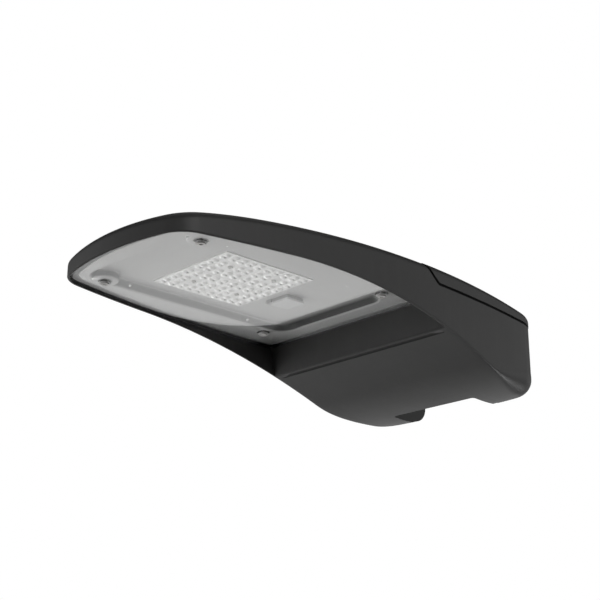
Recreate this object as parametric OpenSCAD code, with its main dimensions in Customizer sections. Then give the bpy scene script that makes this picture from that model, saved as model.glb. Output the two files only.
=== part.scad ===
// LED area light: a slim cast head that bolts by the wall of its rear notch to a pole or an arm.
// X runs from the mounting face to the nose, Y runs across and Z is up.
// The origin is the centre of the two mounting bolts, on the mounting face.

/* [Body plan] */
// Overall width of the casting at its widest point
body_w = 306; // [296:1:316]
// From the mounting face to the tip of the nose
nose_reach = 539; // [530:1:550]
// From the mounting face back to the rear end
rear_reach = 74; // [68:1:80]
// From the mounting face to the widest point
widest_x = 163; // [150:1:175]
// Plan radius of the long sides
side_r = 1480; // [1300:10:1700]
// Plan radius of the nose's front edge
nose_r = 330; // [280:5:400]
// Plan radius of the nose corners
nose_corner_r = 40; // [36:1:46]
// Plan radius of the rear face
rear_r = 620; // [500:10:800]
// Plan radius of the rear corners
rear_corner_r = 52; // [48:2:70]

/* [Body height] */
// Height of the lens's lower face above the mounting centre
lens_z = 36; // [33:1:39]
// Height of the top surface above the lens at its highest point
top_h = 50.2; // [48:0.2:52]
// From the mounting face to the highest point
top_x = 223; // [205:1:240]
// Radius of the top along the body
top_long_r = 2100; // [2000:20:2400]
// Radius of the top across the body
crown_r = 810; // [760:10:900]
// Radius of the edge between top and sides
edge_r = 8; // [6:0.5:10]
// How much further the top dips at the nose
nose_dip = 6; // [3:0.5:8]
// From the mounting face to where that dip starts
nose_dip_x = 400; // [380:5:430]
// How far the rim hangs below the lens
rim_drop = 3; // [2:0.5:4]
// Thickness of the rim and the side skirts
rim_t = 3.2; // [2.8:0.1:4]
// Wall of the gear compartment
wall_t = 4; // [3.5:0.1:5]
// Thickness of the roof over the light engine and of the cover
roof_t = 3.5; // [3:0.1:4]

/* [Underside] */
// From the mounting face to where the skirts start to deepen
skirt_start_x = 384; // [375:1:395]
// Radius of the long curve of the skirts and the belly
belly_r = 830; // [800:10:900]
// From the mounting face to where that curve turns back
belly_turn_x = 73; // [65:1:80]
// Radius of the curve that levels the belly out again
belly_out_r = 271; // [260:1:285]
// Edge radius of the ridge between side and belly
ridge_r = 1; // [0.6:0.1:1.5]
// Lower edge radius of the rear lobes
lobe_r = 22; // [18:1:24]
// From the mounting face to where the ridge starts to soften
ridge_end_x = 66; // [55:1:75]
// How far the sides stand back above each lobe
lobe_shoulder = 1.6; // [0.6:0.2:2.4]
// Height of that shoulder below the lens
shoulder_drop = 59; // [56:1:61]
// Width of the groove at the foot of the riser
groove_w = 3; // [2:0.5:4]

/* [Mounting notch] */
// Width of the notch that takes the arm
notch_w = 142; // [130:1:150]
// Height of the notch's ceiling below the lens, as a level
notch_top = 2; // [0:0.5:3]
// Thickness of the mounting wall
mount_wall_t = 8; // [7:0.5:10]
// Distance between the two mounting bolts
bolt_spacing = 50; // [46:1:54]
// Radius of the bolt holes
bolt_hole_r = 6.5; // [6:0.1:7]
// Radius of the wire hole in the mounting wall
wire_hole_r = 11; // [9:0.5:12]
// Radius of the cable bore in the grommet
cable_bore_r = 5; // [4:0.5:6]

/* [Rear cover] */
// Height of the parting line above the lens at its front end
seam_front_h = 16; // [15:0.5:17]
// Height of the parting line above the lens at the rear end
seam_rear_h = 9.2; // [8.5:0.2:10]
// From the mounting face to the corner of the parting line
seam_corner_x = 160; // [158:0.5:163]
// Angle of the cover's front edge
seam_angle = 42; // [38:1:46]
// Gap between cover and casting, which the gasket fills
seam_gap = 2; // [1.2:0.1:2.4]
// How far the cover stands proud of the casting
cover_proud = 0.6; // [0.2:0.1:1]
// Width of the cover gasket
cover_gasket_w = 3; // [2:0.2:3.4]
// Radius of the cover screws' heads
cover_head_r = 4.6; // [4:0.2:5]
// Half the distance between the two front cover screws
cover_screw_front_y = 124; // [120:1:126]
// Half the distance between the two rear cover screws
cover_screw_rear_y = 102; // [98:1:106]
// From the mounting face back to the rear cover screws
cover_screw_rear_x = 18; // [12:1:24]

/* [Lens] */
// From the mounting face to the rear edge of the lens
lens_rear_x = 158; // [156:0.5:160]
// Thickness of the lens
lens_t = 4; // [3:0.5:5]
// Clearance round the lens
lens_gap = 0.5; // [0.3:0.1:0.8]
// Width of the lens gasket
lens_gasket_w = 8; // [6:0.5:9]
// Thickness of the lens gasket
lens_gasket_t = 2; // [1.5:0.1:2.5]
// From the rear edge of the lens to the rear screws
lens_screw_rear = 53; // [48:1:58]
// From the rear edge of the lens to the front screws
lens_screw_front = 318.7; // [314:1:322]
// Half the distance between the two rear screws
lens_screw_rear_y = 105.5; // [104:0.5:110]
// Half the distance between the two front screws
lens_screw_front_y = 88; // [84:1:90]
// Radius of a lens screw's head
lens_head_r = 5; // [4.5:0.1:5.5]
// Radius of the bosses that take the lens screws
lens_boss_r = 8; // [7:0.5:8.5]

/* [Reflector tray] */
// Sheet thickness of the tray
tray_t = 1.5; // [1:0.1:2]
// From the rear edge of the lens to the pan's rear edge
pan_rear = 30; // [28:1:34]
// From the tip of the nose back to the pan's front edge
pan_front = 34; // [31:1:40]
// Width of the pan at the flange
pan_w = 190; // [184:1:191]
// Depth of the pan
pan_depth = 9; // [8:0.5:10]
// How far the pan's walls slope inwards
pan_slope = 9; // [6:0.5:11]
// Corner radius of the pan at the flange
pan_corner_r = 24; // [20:1:28]

/* [Light engine] */
// Length of one optic plate
plate_l = 66.6; // [65:0.2:68]
// Width of one optic plate
plate_w = 65.8; // [64:0.2:67]
// Gap between neighbouring plates
plate_gap = 0.6; // [0.4:0.1:1]
// Thickness of an optic plate
plate_t = 2.5; // [2:0.1:3]
// From the rear edge of the lens to the centre of the light engine
engine_x = 196.6; // [192:0.5:200]
// Distance between optics along the body
optic_pitch_x = 13; // [12.4:0.1:13.2]
// Distance between optics across the body
optic_pitch_y = 21.6; // [20:0.1:22]
// Sphere radius of an optic's two lobes
optic_r = 5.4; // [5:0.1:6]
// How far an optic stands out of its plate
optic_h = 3.8; // [3:0.1:4.4]
// Distance between the two lobes of an optic
optic_lobe_gap = 7.6; // [6:0.1:8.4]
// Thickness of the circuit board
board_t = 1.6; // [1.2:0.1:2]
// How far the board reaches past the plates
board_margin = 5; // [4:0.5:7]
// Side of one LED package
led_side = 3.5; // [3:0.1:4]
// Height of one LED package
led_h = 0.8; // [0.6:0.1:1]
// Length of the connector block
connector_l = 28; // [24:1:32]
// Width of the connector block
connector_w = 31; // [28:1:34]

/* [Gear compartment] */
// Gap between the compartment's floor and the gear plate's front edge
gear_plate_air = 3.9; // [3:0.1:6]
// Thickness of the gear plate
gear_plate_t = 1.5; // [1.2:0.1:2]
// Length of the gear plate along the body
gear_plate_l = 112; // [108:1:114]
// Width of the gear plate
gear_plate_w = 216; // [206:1:220]
// From the mounting face to the gear plate's rear edge
gear_plate_x = 24; // [22:1:26]
// Length of the driver across the body
driver_l = 152; // [140:1:160]
// Width of the driver along the body
driver_w = 67; // [60:1:68]
// Height of the driver
driver_h = 37; // [30:1:38]
// Length of the surge protector
surge_l = 58; // [50:1:62]
// Width of the surge protector
surge_w = 30; // [26:1:32]
// Height of the surge protector
surge_h = 28; // [22:1:34]
// Length of the terminal block
terminal_l = 62; // [50:1:68]
// Width of the terminal block
terminal_w = 22; // [18:1:28]
// Height of the terminal block
terminal_h = 18; // [14:1:24]

/* [Hidden] */

casting_colour = [0.2, 0.2, 0.21];
pale_colour = [0.78, 0.78, 0.78];
clear_colour = [0.86, 0.88, 0.9, 0.45];
steel_colour = [0.66, 0.67, 0.68];
rubber_colour = [0.12, 0.12, 0.12];

fit_gap = 0.3;
touch_gap = 0.1;
reach = 700;
tip = 0.01;

// Centres and end angles of the arcs that make up the plan, found from their tangencies
function circles_meet(c1, r1, c2, r2, turn) =
    let (
        span = norm(c2 - c1),
        along = (r1 * r1 - r2 * r2 + span * span) / (2 * span),
        aside = sqrt(r1 * r1 - along * along),
        unit = (c2 - c1) / span,
        base = c1 + along * unit,
        step = aside * [-unit[1], unit[0]]
    )
    base + turn * step;
function heading(from, to) = atan2(to[1] - from[1], to[0] - from[0]);

side_c = [widest_x, body_w / 2 - side_r];
nose_c = [nose_reach - nose_r, 0];
rear_c = [rear_r - rear_reach, 0];
nose_corner_c = circles_meet(nose_c, nose_r - nose_corner_r, side_c, side_r - nose_corner_r, 1);
rear_corner_c = circles_meet(rear_c, rear_r - rear_corner_r, side_c, side_r - rear_corner_r, -1);

function arc(c, r, from, to, steps) =
    [for (i = [0:steps - 1]) let (a = from + (to - from) * i / steps) c + r * [cos(a), sin(a)]];

nose_steps = 4;
corner_steps = 6;
side_steps = 16;
rear_corner_steps = 7;
rear_steps = 3;

// One half of the plan, from the nose tip round to the rear end, inset by d
function half_plan(d) = concat(
    arc(nose_c, nose_r - d, 0, heading(nose_c, nose_corner_c), nose_steps),
    arc(nose_corner_c, nose_corner_r - d,
        heading(nose_c, nose_corner_c), heading(side_c, nose_corner_c), corner_steps),
    arc(side_c, side_r - d,
        heading(side_c, nose_corner_c), heading(side_c, rear_corner_c), side_steps),
    arc(rear_corner_c, rear_corner_r - d,
        heading(side_c, rear_corner_c), heading(rear_c, rear_corner_c), rear_corner_steps),
    arc(rear_c, rear_r - d, heading(rear_c, rear_corner_c), 180, rear_steps),
    [[d - rear_reach, 0]]);
half_count = nose_steps + corner_steps + side_steps + rear_corner_steps + rear_steps + 1;
plan_count = 2 * (half_count - 1);

function whole_plan(d) =
    let (half = half_plan(d))
    concat(half, [for (i = [half_count - 2:-1:1]) [half[i][0], -half[i][1]]]);

// Height of the top surface and of the belly
function nose_drop(x) = nose_dip * pow(max(0, x - nose_dip_x) / (nose_reach - nose_dip_x), 3);
function top_z(p) =
    lens_z + top_h - pow(p[0] - top_x, 2) / (2 * top_long_r) - p[1] * p[1] / (2 * crown_r) - nose_drop(p[0]);

belly_turn_angle = asin((skirt_start_x - belly_turn_x) / belly_r);
belly_turn_z = lens_z - rim_drop - belly_r * (1 - cos(belly_turn_angle));
belly_low_x = belly_turn_x - belly_out_r * sin(belly_turn_angle);
belly_low_z = belly_turn_z - belly_out_r * (1 - cos(belly_turn_angle));
function belly_z(x) =
    x > skirt_start_x ? lens_z - rim_drop
    : x > belly_turn_x
        ? lens_z - rim_drop - belly_r + sqrt(pow(belly_r, 2) - pow(skirt_start_x - x, 2))
    : belly_low_z + belly_out_r - sqrt(pow(belly_out_r, 2) - pow(x - belly_low_x, 2));

// The lower edge is a crisp ridge along the sides and a full radius round the rear lobes
lobe_full_x = -30;
function ease(t) = let (u = max(0, min(1, t))) u * u * (3 - 2 * u);
function lobe_share(x) = ease((ridge_end_x - x) / (ridge_end_x - lobe_full_x));

// A closed skin over the whole plan: rings run round the plan from the belly, up the wall,
// over the edge and in towards the crown, and ladders of flat strips close both ends.
spine_inset = 130;
spine_nose = nose_reach - spine_inset;
spine_rear = 70;
spine_shares = [0.4, 0.8];
belly_arc_steps = 4;
edge_arc_steps = 3;
shoulder_band = 7;

function toward_spine(p, share) =
    p * (1 - share) + share * [max(spine_rear, min(spine_nose, p[0])), 0];

// A plan point moved inwards, square to the outline, by the given amount
function moved_in(plan, i, by) =
    let (
        before = plan[(i + plan_count - 1) % plan_count],
        after = plan[(i + 1) % plan_count],
        along = (after - before) / norm(after - before)
    )
    plan[i] + by * [-along[1], along[0]];

function set_back(x) = lobe_shoulder * lobe_share(x);
function low_edge_r(x) = ridge_r + (lobe_r - ridge_r) * lobe_share(x);

function belly_ring(plan, a) = [for (i = [0:plan_count - 1])
    let (r = low_edge_r(plan[i][0]), p = moved_in(plan, i, r * (1 - sin(a))))
    [p[0], p[1], belly_z(plan[i][0]) + r * (1 - cos(a))]];
function wall_ring(plan, share, rise) = [for (i = [0:plan_count - 1])
    let (
        foot = belly_z(plan[i][0]) + low_edge_r(plan[i][0]) + 1 + rise / shoulder_band,
        p = moved_in(plan, i, share * set_back(plan[i][0]))
    )
    [p[0], p[1], max(foot, lens_z - shoulder_drop + rise)]];
function edge_ring(plan, a, proud) = [for (i = [0:plan_count - 1])
    let (p = moved_in(plan, i, set_back(plan[i][0]) + edge_r * (1 - cos(a))))
    [p[0], p[1], top_z(p) + proud - edge_r * (1 - sin(a))]];
function crown_ring(plan, share, proud) = [for (i = [0:plan_count - 1])
    let (p = toward_spine(moved_in(plan, i, set_back(plan[i][0]) + edge_r), share))
    [p[0], p[1], top_z(p) + proud]];

// A solid from rings of plan points: strips join the rings, and ladders of flat strips close both ends
module ring_solid(rings) {
    last = len(rings) - 1;
    function at(ring, i) = ring * plan_count + (i + plan_count) % plan_count;
    quads = concat(
        [for (r = [0:last - 1]) for (i = [0:plan_count - 1])
            [at(r, i), at(r + 1, i), at(r + 1, i + 1), at(r, i + 1)]],
        [for (i = [0:half_count - 2]) [at(0, i), at(0, i + 1), at(0, -i - 1), at(0, -i)]],
        [for (i = [0:half_count - 2]) [at(last, i), at(last, -i), at(last, -i - 1), at(last, i + 1)]]);
    polyhedron([for (ring = rings) each ring], [for (q = quads) each triangles(q)]);
}
// A quad as two triangles, less the one that has no area where a ladder ends in a point
function triangles(q) = [for (t = [[q[0], q[1], q[2]], [q[0], q[2], q[3]]])
    if (t[0] != t[1] && t[1] != t[2] && t[2] != t[0]) t];

module skin(proud = 0) {
    plan = whole_plan(-proud);
    ring_solid(concat(
        [for (k = [0:belly_arc_steps]) belly_ring(plan, 90 * k / belly_arc_steps)],
        [wall_ring(plan, 0, 0), wall_ring(plan, 1, shoulder_band)],
        [for (k = [0:edge_arc_steps]) edge_ring(plan, 90 * k / edge_arc_steps, proud)],
        [for (share = spine_shares) crown_ring(plan, share, proud)]));
}

// The space inside the walls and under the roof, down past the belly
module hollow(wall) {
    plan = whole_plan(wall);
    edge = [for (p = plan) [p[0], p[1], top_z(p) - edge_r / 2]];
    ring_solid(concat(
        [[for (p = plan) [p[0], p[1], -reach / 4]], edge],
        [for (share = [0, each spine_shares]) crown_ring(plan, share, -roof_t)]));
}

module plan_prism(d) {
    translate([0, 0, -reach / 2]) linear_extrude(height = reach) polygon(whole_plan(d));
}

// A prism across the body, from an outline drawn in side view
module side_prism(w = reach) {
    rotate([90, 0, 0]) linear_extrude(height = w, center = true) children();
}

module slab(low, high) {
    translate(low) cube(high - low);
}

// Parting line of the rear cover, in side view
seam_overrun = 30;
seam_rear_x = -rear_reach - seam_overrun;
seam_slope = (seam_front_h - seam_rear_h) / (seam_corner_x + rear_reach);
function seam_z(x) = lens_z + seam_front_h + (x - seam_corner_x) * seam_slope;
seam_rise = 60;
module cover_region(grow = 0) {
    offset(delta = grow) polygon([
        [seam_rear_x, seam_z(seam_rear_x)],
        [seam_corner_x, seam_z(seam_corner_x)],
        [seam_corner_x + seam_rise / tan(seam_angle), seam_z(seam_corner_x) + seam_rise],
        [seam_rear_x, seam_z(seam_corner_x) + seam_rise]]);
}

// Riser behind the lens: it leans back as it goes down to the groove
riser_lean = 11;
riser_foot_z = belly_z(lens_rear_x - riser_lean) + 1;
gear_front_x = lens_rear_x - 8;
ledge_z = lens_z + lens_t + lens_gasket_t;
ledge_w = 14;

module lens_outline(d) {
    intersection() {
        polygon(whole_plan(rim_t + d));
        translate([lens_rear_x + d, -reach / 2]) square([reach, reach]);
    }
}

module lens_recess() {
    intersection() {
        plan_prism(rim_t);
        side_prism() polygon([
            [lens_rear_x, ledge_z],
            [lens_rear_x, lens_z],
            [lens_rear_x - riser_lean, riser_foot_z],
            [lens_rear_x - riser_lean, -reach / 3],
            [reach, -reach / 3],
            [reach, ledge_z]]);
    }
}

// Light engine places
engine_c = [lens_rear_x + engine_x, 0];
engine_l = 2 * plate_l + plate_gap;
engine_w = 2 * plate_w + plate_gap;
pan_floor_z = lens_z + lens_t + fit_gap + pan_depth;
board_z = pan_floor_z + tray_t + fit_gap;
board_l = engine_l + 2 * board_margin;
board_w = engine_w + 2 * board_margin;
led_pad_margin = 3;
led_pad_t = 6;
pad_ribs = 9;
pad_rib_t = 3;

lens_screw_places = [for (side = [-1, 1])
    each [[lens_rear_x + lens_screw_rear, side * lens_screw_rear_y],
        [lens_rear_x + lens_screw_front, side * lens_screw_front_y]]];
lens_screw_r = 2.5;
lens_screw_l = 16;
lens_head_h = 1.8;

// Cooling pad behind the board, with ribs along the body that join it to the roof
module led_pad() {
    pad = [board_l + 2 * led_pad_margin, board_w + 2 * led_pad_margin];
    pad_low = board_z + board_t + touch_gap;
    translate([engine_c[0] - pad[0] / 2, engine_c[1] - pad[1] / 2, pad_low]) {
        cube([pad[0], pad[1], led_pad_t]);
        for (i = [0:pad_ribs - 1])
            translate([0, i * (pad[1] - pad_rib_t) / (pad_ribs - 1), 0]) cube([pad[0], pad_rib_t, reach / 2]);
    }
}

module light_cavity() {
    difference() {
        intersection() {
            hollow(rim_t + ledge_w);
            slab([lens_rear_x + ledge_w, -reach / 2, ledge_z - 1], [reach, reach / 2, reach]);
        }
        led_pad();
        for (p = lens_screw_places)
            translate([p[0], p[1], lens_z + lens_t + touch_gap])
                cylinder(r = lens_boss_r, h = reach, $fn = 48);
    }
}

// Gear compartment
notch_wall_y = notch_w / 2 + wall_t;
notch_ceiling_z = lens_z + notch_top;
gear_boss_r = 5;
gear_boss_inset = 9;
gear_boss_places = [for (x = [gear_plate_x + gear_boss_inset, gear_plate_x + gear_plate_l - gear_boss_inset])
    for (side = [-1, 1]) [x, side * (gear_plate_w / 2 - gear_boss_inset)]];
cover_boss_r = 6;
cover_screw_inset = 20;
cover_screw_places = [for (side = [-1, 1])
    each [[gear_front_x - cover_screw_inset, side * cover_screw_front_y],
        [-cover_screw_rear_x, side * cover_screw_rear_y]]];
cover_screw_r = 2.5;
ground_place = [13, -notch_wall_y + 12];
ground_boss_drop = 50;
ground_boss_top = lens_z - ground_boss_drop;
ground_screw_r = 2;
gear_screw_r = 1.8;
gear_hole_r = 2.2;
gear_head_r = 3.6;
gear_head_h = 2.4;
gear_screw_bite = 7;

// The compartment's floor keeps one wall above the belly, and stays level over the rear lobes
gear_floor_low = belly_low_z + lobe_r * 0.7;
gear_floor_steps = 8;
function gear_floor_z(x) = max(gear_floor_low, belly_z(x) + wall_t + 1);
gear_plate_z = gear_floor_z(gear_plate_x + gear_plate_l) + gear_plate_air;
gear_cut_over = 40;
module gear_section(top) {
    front = gear_front_x - riser_lean;
    polygon(concat(
        [[-reach, top], [-reach, gear_floor_low]],
        [for (i = [0:gear_floor_steps]) let (x = front * i / gear_floor_steps) [x, gear_floor_z(x)]],
        [[gear_front_x, lens_z], [gear_front_x, top]]));
}

module gear_cavity() {
    difference() {
        intersection() {
            plan_prism(wall_t);
            side_prism() gear_section(lens_z + gear_cut_over);
        }
        slab([-reach, -notch_wall_y, -reach], [mount_wall_t, notch_wall_y, notch_ceiling_z + wall_t]);
        for (p = gear_boss_places)
            translate([p[0], p[1], gear_plate_z - touch_gap - reach])
                cylinder(r = gear_boss_r, h = reach, $fn = 32);
        for (p = cover_screw_places)
            translate([p[0], p[1], seam_z(p[0]) - 2 - reach]) cylinder(r = cover_boss_r, h = reach, $fn = 32);
        translate([ground_place[0], ground_place[1], ground_boss_top - reach])
            cylinder(r = gear_boss_r, h = reach, $fn = 32);
    }
}

lead_hole_r = 4;
lead_y = -26;
lead_z = ledge_z + 6;
blind = 14;

module housing() {
    color(casting_colour)
    difference() {
        skin();
        side_prism() cover_region(seam_gap);
        lens_recess();
        light_cavity();
        gear_cavity();
        // Notch for the arm, open to the rear and below
        slab([-reach, -notch_w / 2, -reach], [0, notch_w / 2, notch_ceiling_z]);
        // Mounting bolts and the wire hole
        for (side = [-1, 1])
            translate([-1, 0, side * bolt_spacing / 2]) rotate([0, 90, 0])
                cylinder(r = bolt_hole_r, h = mount_wall_t + 2, $fn = 48);
        translate([-1, 0, 0]) rotate([0, 90, 0]) cylinder(r = wire_hole_r, h = mount_wall_t + 2, $fn = 48);
        translate([-1, 0, 0]) rotate([0, 90, 0])
            cylinder(r = wire_hole_r + grommet_edge + fit_gap, h = grommet_lip + 1, $fn = 48);
        // Groove at the foot of the riser
        side_prism(body_w - 2 * rim_t - 12) translate([lens_rear_x - riser_lean, riser_foot_z])
            circle(d = groove_w, $fn = 24);
        // Blind holes for the lens, gear, cover and ground screws
        for (p = lens_screw_places)
            translate([p[0], p[1], lens_z]) cylinder(r = lens_screw_r, h = blind + lens_t, $fn = 32);
        for (p = gear_boss_places)
            translate([p[0], p[1], gear_plate_z - blind]) cylinder(r = gear_screw_r, h = 2 * blind, $fn = 24);
        for (p = cover_screw_places)
            translate([p[0], p[1], seam_z(p[0]) - 2 - blind])
                cylinder(r = cover_screw_r, h = 3 * blind, $fn = 24);
        translate([ground_place[0], ground_place[1], ground_boss_top - blind / 2])
            cylinder(r = ground_screw_r, h = blind, $fn = 24);
        // Way for the leads from the light engine to the gear
        translate([gear_front_x - 1, lead_y, lead_z]) rotate([0, 90, 0])
            cylinder(r = lead_hole_r, h = ledge_w + 12, $fn = 32);
    }
}

cover_boss_outer_r = 8;
cover_head_drop = 6;
cover_head_h = 4;
cover_screw_bite = 10;
screw_play = 0.2;
function cover_head_z(p) = top_z(p) - cover_head_drop;
module cover_section() {
    wall_run = wall_t / sin(seam_angle);
    polygon([
        [-reach, -reach / 3],
        [gear_front_x, -reach / 3],
        [gear_front_x, seam_z(gear_front_x)],
        [seam_corner_x - wall_run, seam_z(seam_corner_x)],
        [seam_corner_x - wall_run + seam_rise / tan(seam_angle), seam_z(seam_corner_x) + seam_rise],
        [-reach, seam_z(seam_corner_x) + seam_rise]]);
}

module rear_cover() {
    color(casting_colour)
    difference() {
        intersection() {
            skin(cover_proud);
            side_prism() cover_region();
        }
        difference() {
            intersection() {
                hollow(wall_t);
                side_prism() cover_section();
            }
            for (p = cover_screw_places)
                translate([p[0], p[1], seam_z(p[0]) + fit_gap])
                    cylinder(r = cover_boss_outer_r, h = reach, $fn = 32);
        }
        for (p = cover_screw_places) {
            translate([p[0], p[1], 0]) cylinder(r = cover_screw_r + 0.5, h = reach / 2, $fn = 24);
            translate([p[0], p[1], cover_head_z(p)]) cylinder(r = cover_head_r + 1, h = reach / 2, $fn = 32);
        }
    }
}

module cover_gasket() {
    inset = 1.4;
    lap = 7;
    front = gear_front_x + lap;
    color(rubber_colour)
    intersection() {
        side_prism() polygon([
            [seam_rear_x, seam_z(seam_rear_x) - seam_gap + touch_gap],
            [front, seam_z(front) - seam_gap + touch_gap],
            [front, seam_z(front) - touch_gap],
            [seam_rear_x, seam_z(seam_rear_x) - touch_gap]]);
        difference() {
            plan_prism(inset);
            intersection() {
                plan_prism(inset + cover_gasket_w);
                slab([-reach, -reach, -reach], [gear_front_x + 2, reach, reach]);
            }
        }
    }
}

module socket_screw(head_r, head_h, shank_r, shank_l, socket_r) {
    difference() {
        union() {
            cylinder(r = head_r, h = head_h, $fn = 48);
            translate([0, 0, -shank_l]) cylinder(r = shank_r, h = shank_l + tip, $fn = 32);
        }
        translate([0, 0, head_h / 2]) cylinder(r = socket_r, h = head_h, $fn = 6);
    }
}

module cover_screws() {
    color(steel_colour)
    for (p = cover_screw_places)
        translate([p[0], p[1], cover_head_z(p) + touch_gap])
            socket_screw(cover_head_r, cover_head_h, cover_screw_r - screw_play,
                cover_head_z(p) - seam_z(p[0]) + cover_screw_bite, cover_head_r * 0.45);
}

lens_hole_r = 3.2;
module glass_lens() {
    color(clear_colour)
    difference() {
        translate([0, 0, lens_z]) linear_extrude(height = lens_t) lens_outline(lens_gap);
        for (p = lens_screw_places)
            translate([p[0], p[1], lens_z - 1]) cylinder(r = lens_hole_r, h = lens_t + 2, $fn = 32);
    }
}

module lens_gasket() {
    color(pale_colour)
    translate([0, 0, lens_z + lens_t]) linear_extrude(height = lens_gasket_t) difference() {
        lens_outline(lens_gap + 0.5);
        lens_outline(lens_gap + 0.5 + lens_gasket_w);
    }
}

washer_t = 0.8;
washer_margin = 2;
module lens_washers() {
    color(rubber_colour)
    for (p = lens_screw_places)
        translate([p[0], p[1], lens_z - washer_t])
        difference() {
            cylinder(r = lens_head_r + washer_margin, h = washer_t, $fn = 48);
            translate([0, 0, -1]) cylinder(r = lens_screw_r + 0.2, h = washer_t + 2, $fn = 32);
        }
}

module lens_screws() {
    color(steel_colour)
    for (p = lens_screw_places)
        translate([p[0], p[1], lens_z - washer_t]) mirror([0, 0, 1])
            socket_screw(lens_head_r, lens_head_h, lens_screw_r - screw_play, lens_screw_l,
                lens_head_r * 0.45);
}

// Reflector tray: a flange on the ledge and a pan with sloping walls that wraps the front bosses
tray_z = lens_z + lens_t + fit_gap;
tray_edge = lens_gasket_w + 1.6;
boss_hole_r = lens_boss_r + 2;
boss_wrap_r = lens_boss_r + 7;
pan_rear_x = lens_rear_x + pan_rear;
pan_l = nose_reach - pan_front - pan_rear_x;

module rounded_block(low, size, r, h) {
    translate([low[0] + r, low[1] + r, 0]) linear_extrude(height = h)
        offset(r = r, $fn = 32) square([size[0] - 2 * r, size[1] - 2 * r]);
}

module pan_form(skin_in) {
    t = tray_t * skin_in;
    difference() {
        hull() {
            translate([0, 0, tray_z - tip * skin_in])
                rounded_block([pan_rear_x + t, t - pan_w / 2], [pan_l - 2 * t, pan_w - 2 * t],
                    pan_corner_r - t, tip);
            translate([0, 0, tray_z + pan_depth + tray_t * (1 - skin_in) - tip])
                rounded_block([pan_rear_x + t + pan_slope / 3, t + pan_slope - pan_w / 2],
                    [pan_l - 2 * t - pan_slope * 4 / 3, pan_w - 2 * t - 2 * pan_slope],
                    pan_corner_r - t - pan_slope / 2, tip);
        }
        for (p = lens_screw_places) if (p[0] > engine_c[0])
            translate([p[0], p[1], tray_z - 1]) cylinder(r = boss_wrap_r + t, h = pan_depth + 4, $fn = 48);
    }
}

module reflector_tray() {
    color(pale_colour)
    difference() {
        union() {
            translate([0, 0, tray_z]) linear_extrude(height = tray_t) lens_outline(lens_gap + tray_edge);
            pan_form(0);
        }
        pan_form(1);
        // Window that the optic plates stand in
        translate([engine_c[0], engine_c[1], pan_floor_z])
            cube([engine_l + 2, engine_w + 2, 4 * tray_t], center = true);
        for (p = lens_screw_places)
            translate([p[0], p[1], tray_z - 1]) cylinder(r = boss_hole_r, h = tray_t + 2, $fn = 48);
        translate([connector_c[0], connector_c[1] - connector_w / 2 - 4, pan_floor_z])
            cylinder(r = 3, h = 10, center = true, $fn = 32);
    }
}

rivet_spacing = 186;
rivet_r = 2;
module tray_rivets() {
    wall_angle = atan2(pan_slope, pan_depth);
    color(steel_colour)
    for (side = [-1, 1]) for (end = [-1, 1])
        translate([engine_c[0] - 8 + end * rivet_spacing / 2,
                side * (pan_w / 2 - tray_t - pan_slope / 2), tray_z + pan_depth / 2])
            rotate([side * (90 + wall_angle), 0, 0]) translate([0, 0, touch_gap]) rivet();
}

module rivet() {
    rotate_extrude($fn = 32) intersection() {
        translate([0, -rivet_r * 0.2]) circle(r = rivet_r, $fn = 32);
        square([rivet_r, rivet_r]);
    }
}

module led_board() {
    color(pale_colour)
    difference() {
        translate([engine_c[0], engine_c[1], board_z + board_t / 2])
            cube([board_l, board_w, board_t], center = true);
        for (p = plate_places)
            translate([p[0], p[1], board_z - 1]) cylinder(r = plate_hole_r, h = board_t + 2, $fn = 24);
    }
}

plate_places = [for (ix = [-1, 1]) for (iy = [-1, 1])
    [engine_c[0] + ix * (plate_l + plate_gap) / 2, engine_c[1] + iy * (plate_w + plate_gap) / 2]];
// Each plate has five optics along and three across, and a screw in place of the middle one
optic_places = [for (ix = [-2:2]) for (iy = [-1:1]) if (ix != 0 || iy != 0)
    [ix * optic_pitch_x, iy * optic_pitch_y]];
plate_top_z = board_z - touch_gap;

module led_packages() {
    color([0.95, 0.85, 0.4])
    for (c = plate_places) for (p = optic_places)
        translate([c[0] + p[0] - led_side / 2, c[1] + p[1] - led_side / 2, board_z - led_h])
            cube([led_side, led_side, led_h]);
}

// One lobe of an optic: a spherical cap that hangs from the plate, with a short root inside it
module optic_dome() {
    root = 0.8;
    rotate_extrude($fn = 28) intersection() {
        translate([0, optic_r - optic_h]) circle(r = optic_r, $fn = 28);
        translate([0, -optic_h]) square([optic_r, optic_h + root]);
    }
}

module optic_plate(c) {
    dome_z = plate_top_z - plate_t;
    color(clear_colour)
    translate([c[0], c[1], 0])
    difference() {
        union() {
            translate([-plate_l / 2, -plate_w / 2, plate_top_z - plate_t]) cube([plate_l, plate_w, plate_t]);
            for (p = optic_places) for (side = [-1, 1])
                translate([p[0], p[1] + side * optic_lobe_gap / 2, dome_z]) optic_dome();
        }
        for (p = optic_places)
            translate([p[0], p[1], plate_top_z - led_h - 0.4]) cylinder(r = led_side * 0.75, h = 4, $fn = 20);
        translate([0, 0, plate_top_z - plate_t - 1]) cylinder(r = plate_hole_r, h = plate_t + 2, $fn = 24);
    }
}

plate_head_r = 3;
plate_head_h = 2;
plate_screw_r = 1.5;
plate_hole_r = 1.8;
module optic_screws() {
    color(steel_colour)
    for (c = plate_places)
        translate([c[0], c[1], plate_top_z - plate_t - touch_gap]) mirror([0, 0, 1])
            socket_screw(plate_head_r, plate_head_h, plate_screw_r, plate_t + board_t + touch_gap,
                plate_head_r * 0.4);
}

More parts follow.
